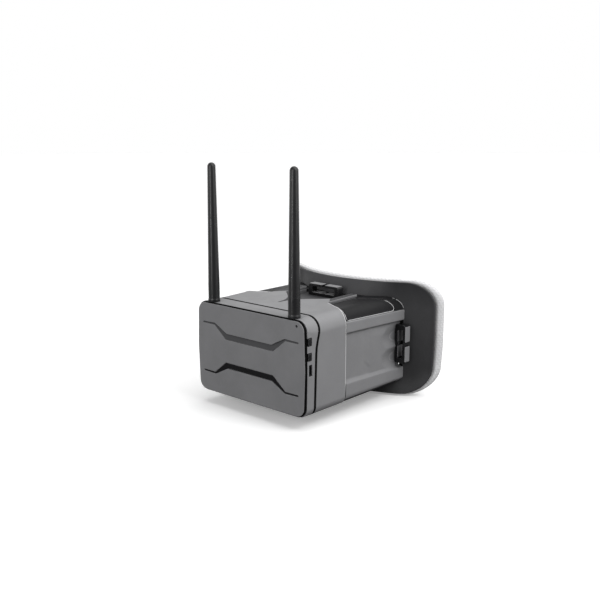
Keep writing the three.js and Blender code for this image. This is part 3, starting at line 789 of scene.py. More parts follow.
# ---------------------------------------------------------------- display module
@dataclass
class DisplayModule:
    """The front plate, its grooves and seals, the case band, the buttons and the socket."""

    plate_edge: float = 0.3
    plate_middle: float = 38.0
    band_edge: float = 0.22
    button_edge: float = 0.3
    seam_low: float = 10.3
    seam_tilt: float = 0.03
    seam_rise: float = 4.0
    seam_gap: float = 1.5
    gasket_half: float = 1.3
    gasket_proud: float = 0.1
    gasket_root: float = -0.9

    def seam_gasket(self) -> bpy.types.Object:
        """Build the rubber gasket in the seam: a ring that follows the seam's bend round the case.

        Returns:
            The gasket.
        """
        wide, narrow = self.gasket_half, self.gasket_half - 0.25
        section = [(-wide, self.gasket_root), (-wide, 0.0), (-narrow, self.gasket_proud)]
        section += [(-along, out) for along, out in reversed(section)]
        rows = []
        for along, out in section:
            row = []
            for x, z in case_outline(16.0, out):
                bend = self.seam_rise * smooth_step(50, 74, z)
                middle = self.seam_low + self.seam_tilt * z + bend + self.seam_gap / 2
                row.append((x, middle + along, z))
            rows.append(row)
        return skin("seam_gasket", rows)

    def groove_floor(self, word: str, sign: int, slot: Slot) -> None:
        """Build the sloping floor of a chevron groove: deep at its outer edge and shallow at its inner edge.

        Args:
            word: upper or lower.
            sign: 1 for the upper groove and -1 for the lower.
            slot: Its material slot; the upper floor's lighter finish and the lower floor's black one are
                painted light and painted shade.
        """
        far = ((-53, 59.3), (-39, 59.7), (-25, 52.6), (25, 52.6), (39, 59.7), (53, 59.3))
        near = ((-53, 58), (-39.5, 58), (-26.5, 47.6), (26.5, 47.6), (39.5, 58), (53, 58))
        rows = []
        for (x0, z0), (x1, z1) in zip(far, near):
            row = []
            for share, depth in ((0.03, 0.95), (0.1, 0.92), (0.5, 0.6), (0.9, 0.25), (0.97, 0.2)):
                z = z0 + (z1 - z0) * share - self.plate_middle
                row.append(((x0 + (x1 - x0) * share) * 0.994, depth, self.plate_middle + sign * z))
            for share in (0.97, 0.03):
                z = z0 + (z1 - z0) * share - self.plate_middle
                row.append(((x0 + (x1 - x0) * share) * 0.994, 1.15, self.plate_middle + sign * z))
            rows.append(row)
        piece = shade_smooth(skin(f"groove_floor_{word}", rows, ring=False), 40)
        dress(piece, slot, Body.GOGGLES, [f"groove_inlay_{word}"])

    def build(self) -> None:
        """Build every piece of the display module."""
        refine(["front_plate"], Slot.PLATE, self.plate_edge, 3)
        # Painted light and shade: both floors are dark inserts; the upper one, whose ramp faces up, gets the
        # lighter charcoal finish and the lower one, facing down, gets black.
        self.groove_floor("upper", 1, Slot.FLANGE)
        self.groove_floor("lower", -1, Slot.GLOSS)
        refine(["plate_seal"], Slot.SEAL, 0.15, 1)
        dress(shade_smooth(self.seam_gasket(), 50), Slot.SEAL, Body.GOGGLES, ["seam_seal"])
        refine(["module_band"], Slot.SHELL, self.band_edge, 3)
        refine(["led_light_pipe"], Slot.CLEAR, 0.15, 2)
        refine(["usb_shell"], Slot.MATTE, 0.1, 2)
        refine(["usb_tongue"], Slot.MATTE, 0.1, 2)
        refine(["button_up"], Slot.GLOSS, self.button_edge, 3, Body.BUTTON_UP)
        refine(["button_down"], Slot.GLOSS, self.button_edge, 3, Body.BUTTON_DOWN)
        refine(["switch_up", "switch_down"], Slot.MATTE, 0.2, 2)


# ---------------------------------------------------------------- housing and body
@dataclass
class Housing:
    """The light case behind the seam, with its tongue and leaf-shaped hollow."""

    edge: float = 0.35
    corner: float = 13.0
    rear: float = 47.75
    tongue_half: float = 31.3
    tongue_end: float = 97.2

    def leaf_floor(self) -> bpy.types.Object:
        """Build the darker floor of the leaf-shaped hollow in the top.

        Returns:
            The floor.
        """
        first = 33.5
        depths = [first + i * (self.tongue_end - first) / 66 for i in range(67)]
        marks = ((31.7, 0.0), (44.0, 2.4), (53.7, 7.6), (61.6, 15.4))
        marks += ((66.0, 20.5), (71.0, 25.2), (99.0, 25.2))
        levels = ((30.0, 77.4), (64.0, 75.6), (86.0, 72.8), (99.0, 72.8))
        across = [-1 + i / 10 for i in range(21)]
        rows = []
        for y in depths:
            wide = max(0.25, float(np.interp(y, *zip(*marks))) - 0.12)
            z = min(float(np.interp(y, *zip(*levels))) + 0.08, case_top(y) - 0.15)
            row = [(wide * a, y, z + 0.15 * abs(a) ** 6) for a in across]
            row += [(wide * a, y, z - 0.4) for a in reversed(across)]
            rows.append(row)
        return skin("leaf_floor", rows, ring=False)

    def tongue_strip(self, side: Side) -> bpy.types.Object:
        """Build the darker strip of the tongue between its hollow and a top cover.

        Args:
            side: Which side of the tongue.

        Returns:
            The strip.
        """
        rows = []
        for i in range(37):
            y = 61.0 + i
            first = self.tongue_half - 6.0 * smooth_step(60.5, 70.5, y)
            wide = self.tongue_half - first
            row = [(first + wide * k / 8, y, case_top(y) + 0.06) for k in range(9)]
            row += [(x, y, z - 0.3) for x, y, z in reversed(row)]
            rows.append(sided(side, row))
        return skin(f"tongue_strip_{side.word}", rows, ring=False)

    def rear_highlight_bead(self, side: Side) -> bpy.types.Object:
        """Build the light bead along the rear edge, from the bottom up to the tongue: a painted highlight on
        that edge.

        Args:
            side: Which side of the housing.

        Returns:
            The bead.
        """
        path = [(CASE_HALF - 0.12, self.rear, z) for z in (8.5, 20, 32, 44, 56)]
        radius = self.corner - 0.05
        for i in range(9):
            a = i / 8 * math.pi / 2 * 0.86
            x = CASE_HALF - self.corner + radius * math.cos(a)
            y = self.rear + max(0.0, 58.5 - x) * 0.23
            path.append((x, y, case_top(y) - self.corner + radius * math.sin(a)))
        for x, y in ((46, 50.7), (42, 52.7), (38, 54.7), (34.5, 56.4), (32.4, 58.4)):
            path.append((x, y, case_top(y) - 0.12))
        return bead(f"housing_rear_bead_{side.word}", sided(side, path), 0.34)

    def build(self) -> None:
        """Build the housing, its rear beads of painted highlight and the floor of its hollow."""
        refine(["housing_shell"], Slot.SHELL, self.edge, 3)
        dress(shade_smooth(self.leaf_floor(), 50), Slot.FLANGE, Body.GOGGLES)
        for side in Side:
            dress(shade_smooth(self.tongue_strip(side), 50), Slot.FLANGE, Body.GOGGLES)
            # Painted highlight: a light bead along each rear edge.
            line = shade_smooth(self.rear_highlight_bead(side), 80)
            dress(line, Slot.SHELL, Body.GOGGLES, finish=painted_highlight_edge())


@dataclass
class RearBody:
    """The tube of the body with its side panels, top covers and floor."""

    front: float = 48.8
    gap: float = 0.3
    inner: float = 55.5
    slope: float = -2.6 / 76
    slope_start: float = 52.0
    rail_x: float = 59.9
    recess_x: float = 57.9
    top: float = 67.4
    lower_rail_top: float = 17.9
    upper_rail_low: float = 58.1
    columns: int = 84
    hollow_depth: float = 3.2
    pocket_x: float = 56.3
    pocket_front: float = 118.6
    pocket_low: float = 18.4
    pocket_high: float = 53.6
    bottom: float = 0.6
    corner_x: float = 52.6
    corner_radius: float = 7.3
    corner_z: float = 7.9
    cover_x: float = 47.4
    cover_z: float = 63.6
    cover_radius: float = 12.2
    cover_wall: float = 2.0
    cover_inner: float = 32.3
    cover_low: float = 67.9

    def end_of(self, x: float, back: float = 0.0) -> float:
        """Y of the body's rear edge at an X, moved forwards by back."""
        return JUNCTION + JUNCTION_CURVE * x * x - self.gap - back

    def drop(self, y: float, z: float) -> float:
        """How far the panel's rails have fallen at a depth: nothing at the bottom, all from Z 9 up."""
        return min(1.0, max(0.0, (z - 3) / 6)) * self.slope * (y - self.slope_start)

    def section(self) -> list[tuple[float, float]]:
        """Outer line of a side panel in X and Z, from under the lower rail to the top edge.

        Returns:
            X and Z of each point.
        """
        line = [(50.6, self.bottom), (51.6, self.bottom)]
        radius = self.corner_radius
        line += quarter_arc(self.rail_x - radius, self.bottom + radius, radius, -1, 12)
        low, high, deep = self.lower_rail_top, self.upper_rail_low, self.recess_x
        for i in range(1, 10):
            line.append((self.rail_x, self.corner_z + i * (low - 1.6 - self.corner_z) / 9))
        for i in range(1, 8):
            share = smooth_step(0, 1, i / 7)
            line.append((self.rail_x - (self.rail_x - deep) * share, low - 1.6 + 3.2 * i / 7))
        span = high - low - 3.0
        for i in range(1, 46):
            line.append((deep, low + 1.6 + span * i / 46))
        for i in range(0, 7):
            share = smooth_step(0, 1, i / 6)
            line.append((deep + (self.rail_x - deep) * share, high - 1.3 + 2.0 * i / 6))
        for i in range(1, 8):
            line.append((self.rail_x, high + 0.7 + i * (self.top - 0.8 - high - 0.7) / 7))
        line += [(self.rail_x - 0.25, self.top - 0.3), (self.rail_x - 0.8, self.top)]
        return line

    def sunk(self, x: float, y: float, z: float) -> float:
        """X of the outer skin after the hollows, the pocket and the step are taken out of it."""
        depth = 0.0
        for centre in (27.0, 45.0):
            reach = ((y - 121.0) / 24.0) ** 2 + ((z - centre) / 11.5) ** 2
            if reach < 1:
                depth = max(depth, self.hollow_depth * (1 - reach) ** 1.35)
        face = x - depth
        line = 73.0 + 6.0 * (1 - smooth_step(24, 31, z))
        inside = smooth_step(17.5, 20.5, z) * (1 - smooth_step(55.5, 58.5, z))
        face += 0.42 * inside * (smooth_step(line, line + 5.0, y) - 0.5)
        droop = smooth_step(60, 118, y) * smooth_step(49.0, 56.8, z) * (1 - smooth_step(56.8, 58.0, z))
        face -= 0.9 * droop
        if y > self.pocket_front and self.pocket_low < z < self.pocket_high:
            face = min(face, self.pocket_x)
        return face

    def side_panel(self, side: Side) -> bpy.types.Object:
        """Build a side panel as one fine skin with its rails, recess and hollows.

        Args:
            side: Which side of the body.

        Returns:
            The panel.
        """
        lines = [self.front + 0.001, self.front + 0.15, self.front + 0.5]
        first, length = self.front + 1, 117.8 - self.front - 1
        lines += [first + length * i / self.columns for i in range(self.columns + 1)]
        lines += [118.3, 118.58, 118.62, 119.4]
        tail = [0.25, 0.5, 0.75, 0.93, 0.985, 1.0]
        outer = self.section()
        rows = []
        for k in range(len(lines) + len(tail)):
            row = []
            for x, z in outer:
                last = self.end_of(min(x, self.rail_x))
                y = lines[k] if k < len(lines) else 119.4 + (last - 119.4) * tail[k - len(lines)]
                face = self.sunk(x, y, z)
                ends = 0.35 if k in (0, len(lines) + len(tail) - 1) else (0.1 if k == 1 else 0.0)
                face -= ends * smooth_step(50, 56, x)
                row.append((side.value * face, y, z + self.drop(y, z)))
            y_flat = row[-1][1]
            drop = self.slope * (y_flat - self.slope_start)
            row.append((side.value * self.inner, y_flat, self.top + drop))
            row.append((side.value * self.inner, y_flat, 2.3))
            row.append((side.value * 50.6, y_flat, 2.3))
            rows.append(row)
        return skin(f"side_panel_{side.word}_skin", rows, ring=False)

    def under_strip(self, side: Side) -> bpy.types.Object:
        """Build the dark strip that wraps round the lower corner of a side panel.

        Args:
            side: Which side of the body.

        Returns:
            The strip.
        """
        rows = []
        last = self.end_of(52.0, 0.3)
        for i in range(41):
            y = self.front + 0.3 + (last - self.front - 0.3) * i / 40
            row = []
            proud, sunk = self.corner_radius + 0.08, self.corner_radius - 0.4
            for radius, order in ((proud, range(13)), (sunk, range(12, -1, -1))):
                for k in order:
                    a = -math.pi / 2 + k / 12 * 0.66 * math.pi / 2
                    x, z = self.corner_x + radius * math.cos(a), self.corner_z + radius * math.sin(a)
                    row.append((side.value * x, y, z + self.drop(y, z)))
            rows.append(row)
        return skin(f"under_strip_{side.word}", rows, ring=False)

    def cover_point(self, share: float, y: float, lift: float) -> Point:
        """A point on the top cover's skin.

        Args:
            share: 0 at the tongue and 1 at the side panel.
            y: Depth.
            lift: Height over the skin.

        Returns:
            The point.
        """
        radius, cx, cz = self.cover_radius + lift, self.cover_x, self.cover_z
        low = math.asin(min(1.0, (self.cover_low + self.slope * (y - self.slope_start) - cz) / radius))
        flat, arc = cx - self.cover_inner, self.cover_radius * (math.pi / 2 - low)
        walk = share * (flat + arc)
        if walk < flat:
            return (self.cover_inner + walk, y, cz + radius)
        a = math.pi / 2 - (walk - flat) / self.cover_radius
        return (cx + radius * math.cos(a), y, cz + radius * math.sin(a))

    def cover_front(self, x: float) -> float:
        """Y of a top cover's front edge at an X."""
        corners = [(32.3, 60.4), (33.5, 57.9), (45.5, 51.8), (58.5, 48.8), (61.0, 48.8)]
        for (x0, y0), (x1, y1) in zip(corners, corners[1:]):
            if x <= x1:
                return y0 + (y1 - y0) * max(0.0, (x - x0) / (x1 - x0))
        return corners[-1][1]

    def top_cover(self, side: Side) -> bpy.types.Object:
        """Build a top cover: a curved skin with a raised field inside a shallow border line.

        Args:
            side: Which side of the body.

        Returns:
            The cover.
        """
        shares = [0, 0.008, 0.02, 0.045, 0.06, 0.075] + [0.1 + 0.8 * i / 26 for i in range(27)]
        shares += [0.925, 0.94, 0.955, 0.98, 0.992, 1]
        depths = [0, 0.004, 0.012, 0.03, 0.04, 0.05] + [0.07 + 0.87 * i / 24 for i in range(25)]
        depths += [0.955, 0.963, 0.972, 0.985, 0.995, 1]

        def profile(share: float, marks: Sequence[float]) -> float:
            """Height over the skin near an edge: rounded off, then a groove, then the field."""
            near = min(share, 1 - share)
            rounded = -0.55 * (1 - smooth_step(0, marks[0], near))
            into, out_of = smooth_step(marks[1], marks[2], near), smooth_step(marks[2], marks[3], near)
            return rounded - 0.34 * into * (1 - out_of)

        outer, inner = [], []
        for t in depths:
            top_row, low_row = [], []
            for s in shares:
                x_guess = self.cover_point(s, 80, 0)[0]
                first = self.cover_front(x_guess)
                last = self.cover_end(s)
                y = first + (last - first) * t
                lift = min(profile(s, (0.02, 0.03, 0.055, 0.085)), profile(t, (0.012, 0.018, 0.04, 0.06)))
                x, y, z = self.cover_point(s, y, lift)
                top_row.append((side.value * x, y, z))
                x, y, z = self.cover_point(s, y, -self.cover_wall)
                low_row.append((side.value * x, y, z))
            outer.append(top_row)
            inner.append(low_row)
        rows = [o + list(reversed(i)) for o, i in zip(outer, inner)]
        return skin(f"top_cover_{side.word}_skin", rows, ring=False)

    def cover_end(self, share: float) -> float:
        """Y of a cover's rear edge, with its rounded lower corner."""
        corner = max(0.0, 1 - (1 - share) / 0.16)
        last = self.end_of(self.cover_point(share, 80, 0)[0], 12)
        return last - 4.5 * (1 - math.sqrt(max(0.0, 1 - corner * corner)))

    def cover_bead(self, side: Side) -> bpy.types.Object:
        """Build the light bead along a top cover's lower and rear edges: a painted highlight on those edges.
        """
        path = []
        for i in range(25):
            first = self.cover_front(60)
            y = first + 1.8 + (self.cover_end(1) - first - 1.4) * i / 24
            path.append(self.cover_point(1.0, y, -0.1))
        for i in range(1, 12):
            share = 1 - i / 31
            path.append(self.cover_point(share, self.cover_end(share), -0.1))
        return bead(f"cover_bead_{side.word}", sided(side, path), 0.22)

    def front_bead(self, side: Side) -> bpy.types.Object:
        """Build the light bead along a top cover's front edge: a painted highlight on that edge."""
        path = []
        for i in range(35):
            share = 0.3 + 0.02 * i
            x = self.cover_point(share, 80, 0)[0]
            path.append(self.cover_point(share, self.cover_front(x) + 1.7, 0.0))
        return bead(f"front_bead_{side.word}", sided(side, path), 0.25)

    def collar_bead(self, side: Side) -> bpy.types.Object:
        """Build the light bead round the rear edge of the body's collar: a painted highlight on that edge."""
        path = []
        for i in range(13):
            x, _, z = self.cover_point(1 - i / 31, 120, -0.05)
            path.append((side.value * x, self.end_of(x, 0.35), z))
        return bead(f"collar_bead_{side.word}", path, 0.22)

    def build(self) -> None:
        """Build the body's pieces."""
        refine(["body_shell"], Slot.COVER, 0.25, 2)
        refine(["bottom_cover"], Slot.COVER, 0.35, 3)
        for side in Side:
            panel = shade_smooth(self.side_panel(side), 50)
            dress(panel, Slot.BODY, Body.GOGGLES, [f"side_panel_{side.word}"])
            cover = shade_smooth(self.top_cover(side), 50)
            dress(cover, Slot.COVER, Body.GOGGLES, [f"top_cover_{side.word}"])
            dress(shade_smooth(self.under_strip(side), 60), Slot.COVER, Body.GOGGLES)
            # Painted highlight: light beads along the covers' edges and the collar's rear edge.
            for line in (self.cover_bead(side), self.front_bead(side), self.collar_bead(side)):
                dress(shade_smooth(line, 80), Slot.SHELL, Body.GOGGLES, finish=painted_highlight_edge())


# ---------------------------------------------------------------- face frame and pad
@dataclass
class FaceFrame:
    """The flared frame round the face, its backing and its soft pad."""

    count: int = 240
    rim: float = 106.0
    rim_curve: float = 0.0045
    rim_half: float = 83.2
    rim_top: float = 88.4
    rim_low: float = -9.6
    rim_top_corner: float = 21.0
    rim_low_corner: float = 24.0
    rim_slant: float = 1.3
    wall: float = 2.2
    nose_rise: float = 16.0
    nose_half: float = 24.0
    glued_loops: int = 7
    blow_steps: int = 16

    def outline(
        self, half: float, low: float, high: float, top_radius: float, low_radius: float
    ) -> list[tuple[float, float]]:
        """Points at equal steps along a face outline with a nose arch, clockwise from the top middle.

        Args:
            half: Half width.
            low: Lowest level.
            high: Highest level.
            top_radius: Radius of the upper corners.
            low_radius: Radius of the lower corners.

        Returns:
            X and Z of each point.
        """
        left = quarter_arc(top_radius - half, high - top_radius, top_radius, 1, 24)
        left += quarter_arc(low_radius - half, low + low_radius, low_radius, 2, 24)
        nose = []
        for i in range(65):
            x = self.nose_half * (i / 32 - 1)
            nose.append((x, low + self.nose_rise * (0.5 + 0.5 * math.cos(math.pi * x / self.nose_half))))
        right = [(-x, z) for x, z in reversed(left)]
        line = np.array([(0.0, high)] + left + nose + right + [(0.0, high)])
        steps = np.hypot(*np.diff(line, axis=0).T)
        keep = np.concatenate([[True], steps > 1e-9])
        line = line[keep]
        walk = np.concatenate([[0.0], np.cumsum(np.hypot(*np.diff(line, axis=0).T))])
        at = np.linspace(0, walk[-1], self.count, endpoint=False)
        return list(zip(np.interp(at, walk, line[:, 0]), np.interp(at, walk, line[:, 1])))

    def prepare(self) -> None:
        """Draw the two outlines that the flare joins."""
        self.inner_line = self.outline(59.6, 0.6, 75.8, 12.5, 7.5)
        levels = (self.rim_low, self.rim_top)
        rim = self.outline(self.rim_half, *levels, self.rim_top_corner, self.rim_low_corner)
        lean = self.rim_slant / self.rim_half
        self.outer_line = [(x * (1 - lean * smooth_step(-40, 8, -z)), z) for x, z in rim]

    def loop(self, share: float, offset: float) -> list[Point]:
        """A loop on the flare: share 0 on the body's rear edge, share 1 on the rim.

        Args:
            share: Place between the two outlines.
            offset: Distance behind the flare's front face.

        Returns:
            The loop's points.
        """
        points = []
        bend = min(1.0, max(0.0, share))
        for (jx, jz), (rx, rz) in zip(self.inner_line, self.outer_line):
            x = jx + (rx - jx) * share
            z = jz + (rz - jz) * share
            near = JUNCTION + JUNCTION_CURVE * x * x
            far = self.rim + self.rim_curve * x * x
            points.append((x, near + (far - near) * bend + offset, z))
        return points

    def back_loop(self, share: float, depth: float) -> list[Point]:
        """A loop of the pad's face, depth behind the rim."""
        return [(x, self.rim + self.rim_curve * x * x + depth, z) for x, _, z in self.loop(share, 0)]

    def flange(self) -> bpy.types.Object:
        """Build the flared frame with a rounded lip.

        Returns:
            The frame.
        """
        rows = [self.loop(i / 24 * 0.965, 0.3) for i in range(25)]
        lip = ((0.985, 0.42), (0.996, 0.75), (1.0, 1.2), (0.996, 1.75), (0.985, 2.1))
        rows += [self.loop(share, offset) for share, offset in lip]
        rows += [self.loop(0.96 - i / 12 * 1.08, self.wall) for i in range(13)]
        rows += [self.loop(-0.12, 0.5)]
        return skin("face_frame_skin", rows)

    def joint_seal(self) -> bpy.types.Object:
        """Build the dark seal inside the joint between the body and the face frame."""
        corners = ((-0.02, -0.9), (-0.02, 0.9), (-0.07, 0.9), (-0.07, -0.9))
        return skin("joint_seal", [self.loop(share, offset) for share, offset in corners])

    def backing(self) -> bpy.types.Object:
        """Build the thin backing that the pad is glued to.

        Returns:
            The backing.
        """
        start = self.wall + 0.6
        shares = [0.44 + 0.5 * i / 10 for i in range(11)]
        rows = [self.loop(s, start) for s in shares] + [self.loop(0.945, start + 0.4)]
        rows += [self.loop(s, start + 0.8) for s in reversed(shares)] + [self.loop(0.435, start + 0.4)]
        return skin("pad_backing_skin", rows)

    def pad(self) -> bpy.types.Object:
        """Build the soft pad: a crowned ring that is blown up a little and sewn along its inner edge.

        Returns:
            The pad.
        """
        start = self.wall + 2.0 + 0.15
        glued = (0.43, 0.53, 0.63, 0.73, 0.82, 0.91, 0.99)
        loops = [self.loop(share, start) for share in glued]
        section = (
            (1.05, 4.35), (1.09, 4.7), (1.113, 5.5), (1.121, 6.8), (1.117, 8.1), (1.103, 9.3),
            (1.082, 10.15), (1.066, 10.35), (1.052, 11.05), (1.015, 11.9), (0.96, 12.7), (0.9, 13.3),
            (0.83, 13.8), (0.76, 14.0), (0.69, 13.9), (0.62, 13.4), (0.55, 12.6), (0.49, 11.4),
            (0.45, 9.8), (0.433, 8.0), (0.427, 5.2),
        )
        loops += [self.back_loop(share, depth) for share, depth in section]
        piece = skin("face_pad_cushion", loops)
        self.inflate(piece, len(loops))
        fine = piece.modifiers.new("fine", "SUBSURF")
        fine.levels = fine.render_levels = 1
        return piece

    def inflate(self, piece: bpy.types.Object, loops: int, most: float = 0.0016) -> None:
        """Blow the pad up as cloth over foam, held where it is glued, and cap how far it swells.

        Args:
            piece: The pad.
            loops: Loops round its section; not used. The first seven are glued down.
            most: The furthest a point may move, in metres.
        """
        rest = np.array([v.co for v in piece.data.vertices])
        held = piece.vertex_groups.new(name="glued")
        glued = self.count * self.glued_loops
        crown = self.count * (self.glued_loops + 2)
        held.add(list(range(glued)), 1.0, "REPLACE")
        held.add([crown + i for i in range(self.count)], 0.35, "REPLACE")
        cloth = piece.modifiers.new("blow_up", "CLOTH")
        cloth.settings.vertex_group_mass = "glued"
        cloth.settings.use_pressure = True
        cloth.settings.uniform_pressure_force = 4.0
        cloth.settings.quality = 5
        cloth.settings.effector_weights.gravity = 0.0
        cloth.point_cache.frame_end = self.blow_steps
        for step in range(1, self.blow_steps + 1):
            bpy.context.scene.frame_set(step)
        graph = bpy.context.evaluated_depsgraph_get()
        blown = np.array([v.co for v in piece.evaluated_get(graph).data.vertices])
        piece.modifiers.remove(cloth)
        bpy.context.scene.frame_set(1)
        move = blown - rest
        size = np.linalg.norm(move, axis=1, keepdims=True)
        move *= np.minimum(1.0, most / np.maximum(size, 1e-9))
        move[:glued] = 0.0
        piece.data.vertices.foreach_set("co", (rest + move).astype(np.float32).ravel())
        piece.data.update()

    def build(self) -> None:
        """Build the frame, the backing and the pad."""
        self.prepare()
        dress(shade_smooth(self.flange(), 60), Slot.FLANGE, Body.GOGGLES, ["face_flange"])
        dress(shade_smooth(self.joint_seal(), 50), Slot.SEAL, Body.GOGGLES)
        dress(shade_smooth(self.backing(), 60), Slot.SEAL, Body.GOGGLES, ["pad_backing"])
        pad = self.pad()
        pad.data.polygons.foreach_set("use_smooth", [True] * len(pad.data.polygons))
        dress(pad, Slot.FOAM, Body.GOGGLES, ["face_pad"])


# ---------------------------------------------------------------- straps, aerials, inside
@dataclass
class StrapFittings:
    """The three strap brackets, the light faces of their bars (partly a lighter bar moulding, partly painted
    light on the faces turned outwards), and their screws.
    """

    edge: float = 0.5
    depth: float = 7.0
    closed_bar: float = 2.5
    reach: float = 10.0
    end: float = 15.4

    def face(self, name: str, place: str, x: tuple[float, float], z: float, slot: Slot) -> None:
        """Set a thin light face on a bar's outward face: partly a lighter moulding, partly painted light
        where that face is lit.

        Args:
            name: Name of the piece.
            place: Which bracket: top, right or left.
            x: Its two ends along the bar.
            z: Height of the bar's face over the body.
            slot: Its material slot.
        """
        turn = {"top": 0, "right": 1, "left": -1}[place]
        ox, oy, oz = (turn * 56.6, 119.0, 36.0) if turn else (0.0, 90.2, 73.1)
        rows = []
        for level, inset in ((z - 0.3, 0.12), (z + 0.02, 0.12), (z + 0.1, 0.22), (z + 0.13, 0.42)):
            row = []
            ends, sides = (x[0] + inset, x[1] - inset), (inset, self.depth - inset)
            for px, py in rounded_outline(ends, sides, 0.7 - inset / 2):
                u, v = (px, level) if turn == 0 else (turn * level, -turn * px)
                row.append((ox + u, oy + py, oz + v))
            rows.append(row)
        dress(shade_smooth(skin(name, rows, ring=False), 50), slot, Body.GOGGLES)

    def build(self) -> None:
        """Build the brackets and their screws."""
        for place in ("top", "right", "left"):
            refine([f"strap_bracket_{place}"], Slot.GLOSS, self.edge, 3)
            for k, sign in enumerate((-1, 1), 1):
                outer = sorted((sign * 1.9, sign * self.end))
                inner = sorted((sign * 1.7, sign * 12.1))
                # The light faces are partly a lighter bar moulding and partly painted light on the bars'
                # outward faces; the other faces stay black.
                self.face(f"strap_bar_face_{place}_{k}", place, tuple(outer), self.reach, Slot.SHELL)
                self.face(f"closed_bar_face_{place}_{k}", place, tuple(inner), self.closed_bar, Slot.SHELL)
            refine([f"bracket_screw_{place}_{k}" for k in (1, 2)], Slot.STEEL, 0.15, 2)


@dataclass
class Aerials:
    """Two rubber aerials, each with a jack under it and a wire inside."""

    half_spacing: float = 44.5
    depth: float = 5.0
    foot: float = 76.8
    length: float = 112.0
    collar: float = 4.9
    root: float = 4.65
    taper_start: float = 93.5
    taper_radius: float = 4.56
    tip_radius: float = 3.3

    def sleeve(self, side: Side) -> bpy.types.Object:
        """Turn a rubber sleeve with a collar, a straight root, a long taper and a round tip.

        Args:
            side: Which aerial.

        Returns:
            The sleeve.
        """
        tip = self.foot + self.length
        line = [(3.2, self.foot), (4.6, self.foot), (4.85, self.foot + 0.12), (self.collar, self.foot + 0.4)]
        line += [(self.collar, 78.2), (4.84, 78.5), (4.68, 78.72), (4.62, 79.0)]
        line += [(self.root, 79.4), (self.root, 91.2), (4.62, 92.0), (self.taper_radius, self.taper_start)]
        fall = tip - 3.4 - self.taper_start
        for i in range(1, 13):
            radius = self.taper_radius + (self.tip_radius - self.taper_radius) * i / 12
            line.append((radius, self.taper_start + fall * i / 12))
        line += quarter_arc(0.0, tip - self.tip_radius, self.tip_radius, 0, 8)[1:]
        line += [(0.0, tip - 14), (1.0, tip - 14), (1.0, 85.0), (3.2, 84.0)]
        return turned(f"aerial_sleeve_{side.word}", line, (side.value * self.half_spacing, self.depth))

    def build(self) -> None:
        """Build both aerials and their jacks."""
        bodies = {Side.LEFT: Body.AERIAL_LEFT, Side.RIGHT: Body.AERIAL_RIGHT}
        for side in Side:
            line = [(3.0, 76.28), (4.7, 76.28), (4.85, 76.4), (4.85, 76.6), (4.7, 76.72), (3.0, 76.72)]
            washer = turned(f"aerial_washer_{side.word}", line, (side.value * self.half_spacing, self.depth))
            dress(shade_smooth(washer, 60), Slot.MATTE, Body.GOGGLES)
            sleeve = shade_smooth(self.sleeve(side), 42)
            dress(sleeve, Slot.AERIAL, bodies[side], [f"antenna_sleeve_{side.word}"])
            refine([f"antenna_wire_{side.word}"], Slot.BRASS, 0.1, 1, bodies[side])
            refine([f"antenna_jack_{side.word}"], Slot.BRASS, 0.15, 2)


@dataclass
class Optics:
    """The stepped lens with its frame and clamp, and the display."""

    def build(self) -> None:
        """Build the optical pieces."""
        refine(["fresnel_lens"], Slot.LENS, 0.3, 2)
        refine(["lens_frame", "lens_clamp", "lcd_bezel"], Slot.MATTE, 0.4, 2)
        refine(["lcd_panel"], Slot.SCREEN, 0.2, 2)


@dataclass
class Electronics:
    """The board, its screws, the battery and the two receivers."""

    def build(self) -> None:
        """Build the electronic pieces."""
        refine(["main_board"], Slot.BOARD, 0.12, 1)
        refine(["battery_pack"], Slot.WRAP, 0.8, 4)
        refine(["receiver_can_left", "receiver_can_right"], Slot.STEEL, 0.3, 3)
        refine([f"board_screw_{i}" for i in range(1, 5)], Slot.STEEL, 0.12, 2)


# ---------------------------------------------------------------- studio
@dataclass
class SoftLight:
    """A rectangular soft light aimed at the goggles."""

    name: str
    place: Point
    size: tuple[float, float]
    power: float

    def build(self, aim: Vector) -> None:
        """Hang the light and turn it to a point."""
        lamp = bpy.data.lights.new(self.name, "AREA")
        lamp.shape = "RECTANGLE"
        lamp.size, lamp.size_y = self.size
        lamp.energy = self.power
        light = bpy.data.objects.new(self.name, lamp)
        light.location = self.place
        light.visible_camera = False
        light.rotation_mode = "QUATERNION"
        light.rotation_quaternion = (aim - Vector(self.place)).to_track_quat("-Z", "Y")
        bpy.context.scene.collection.objects.link(light)


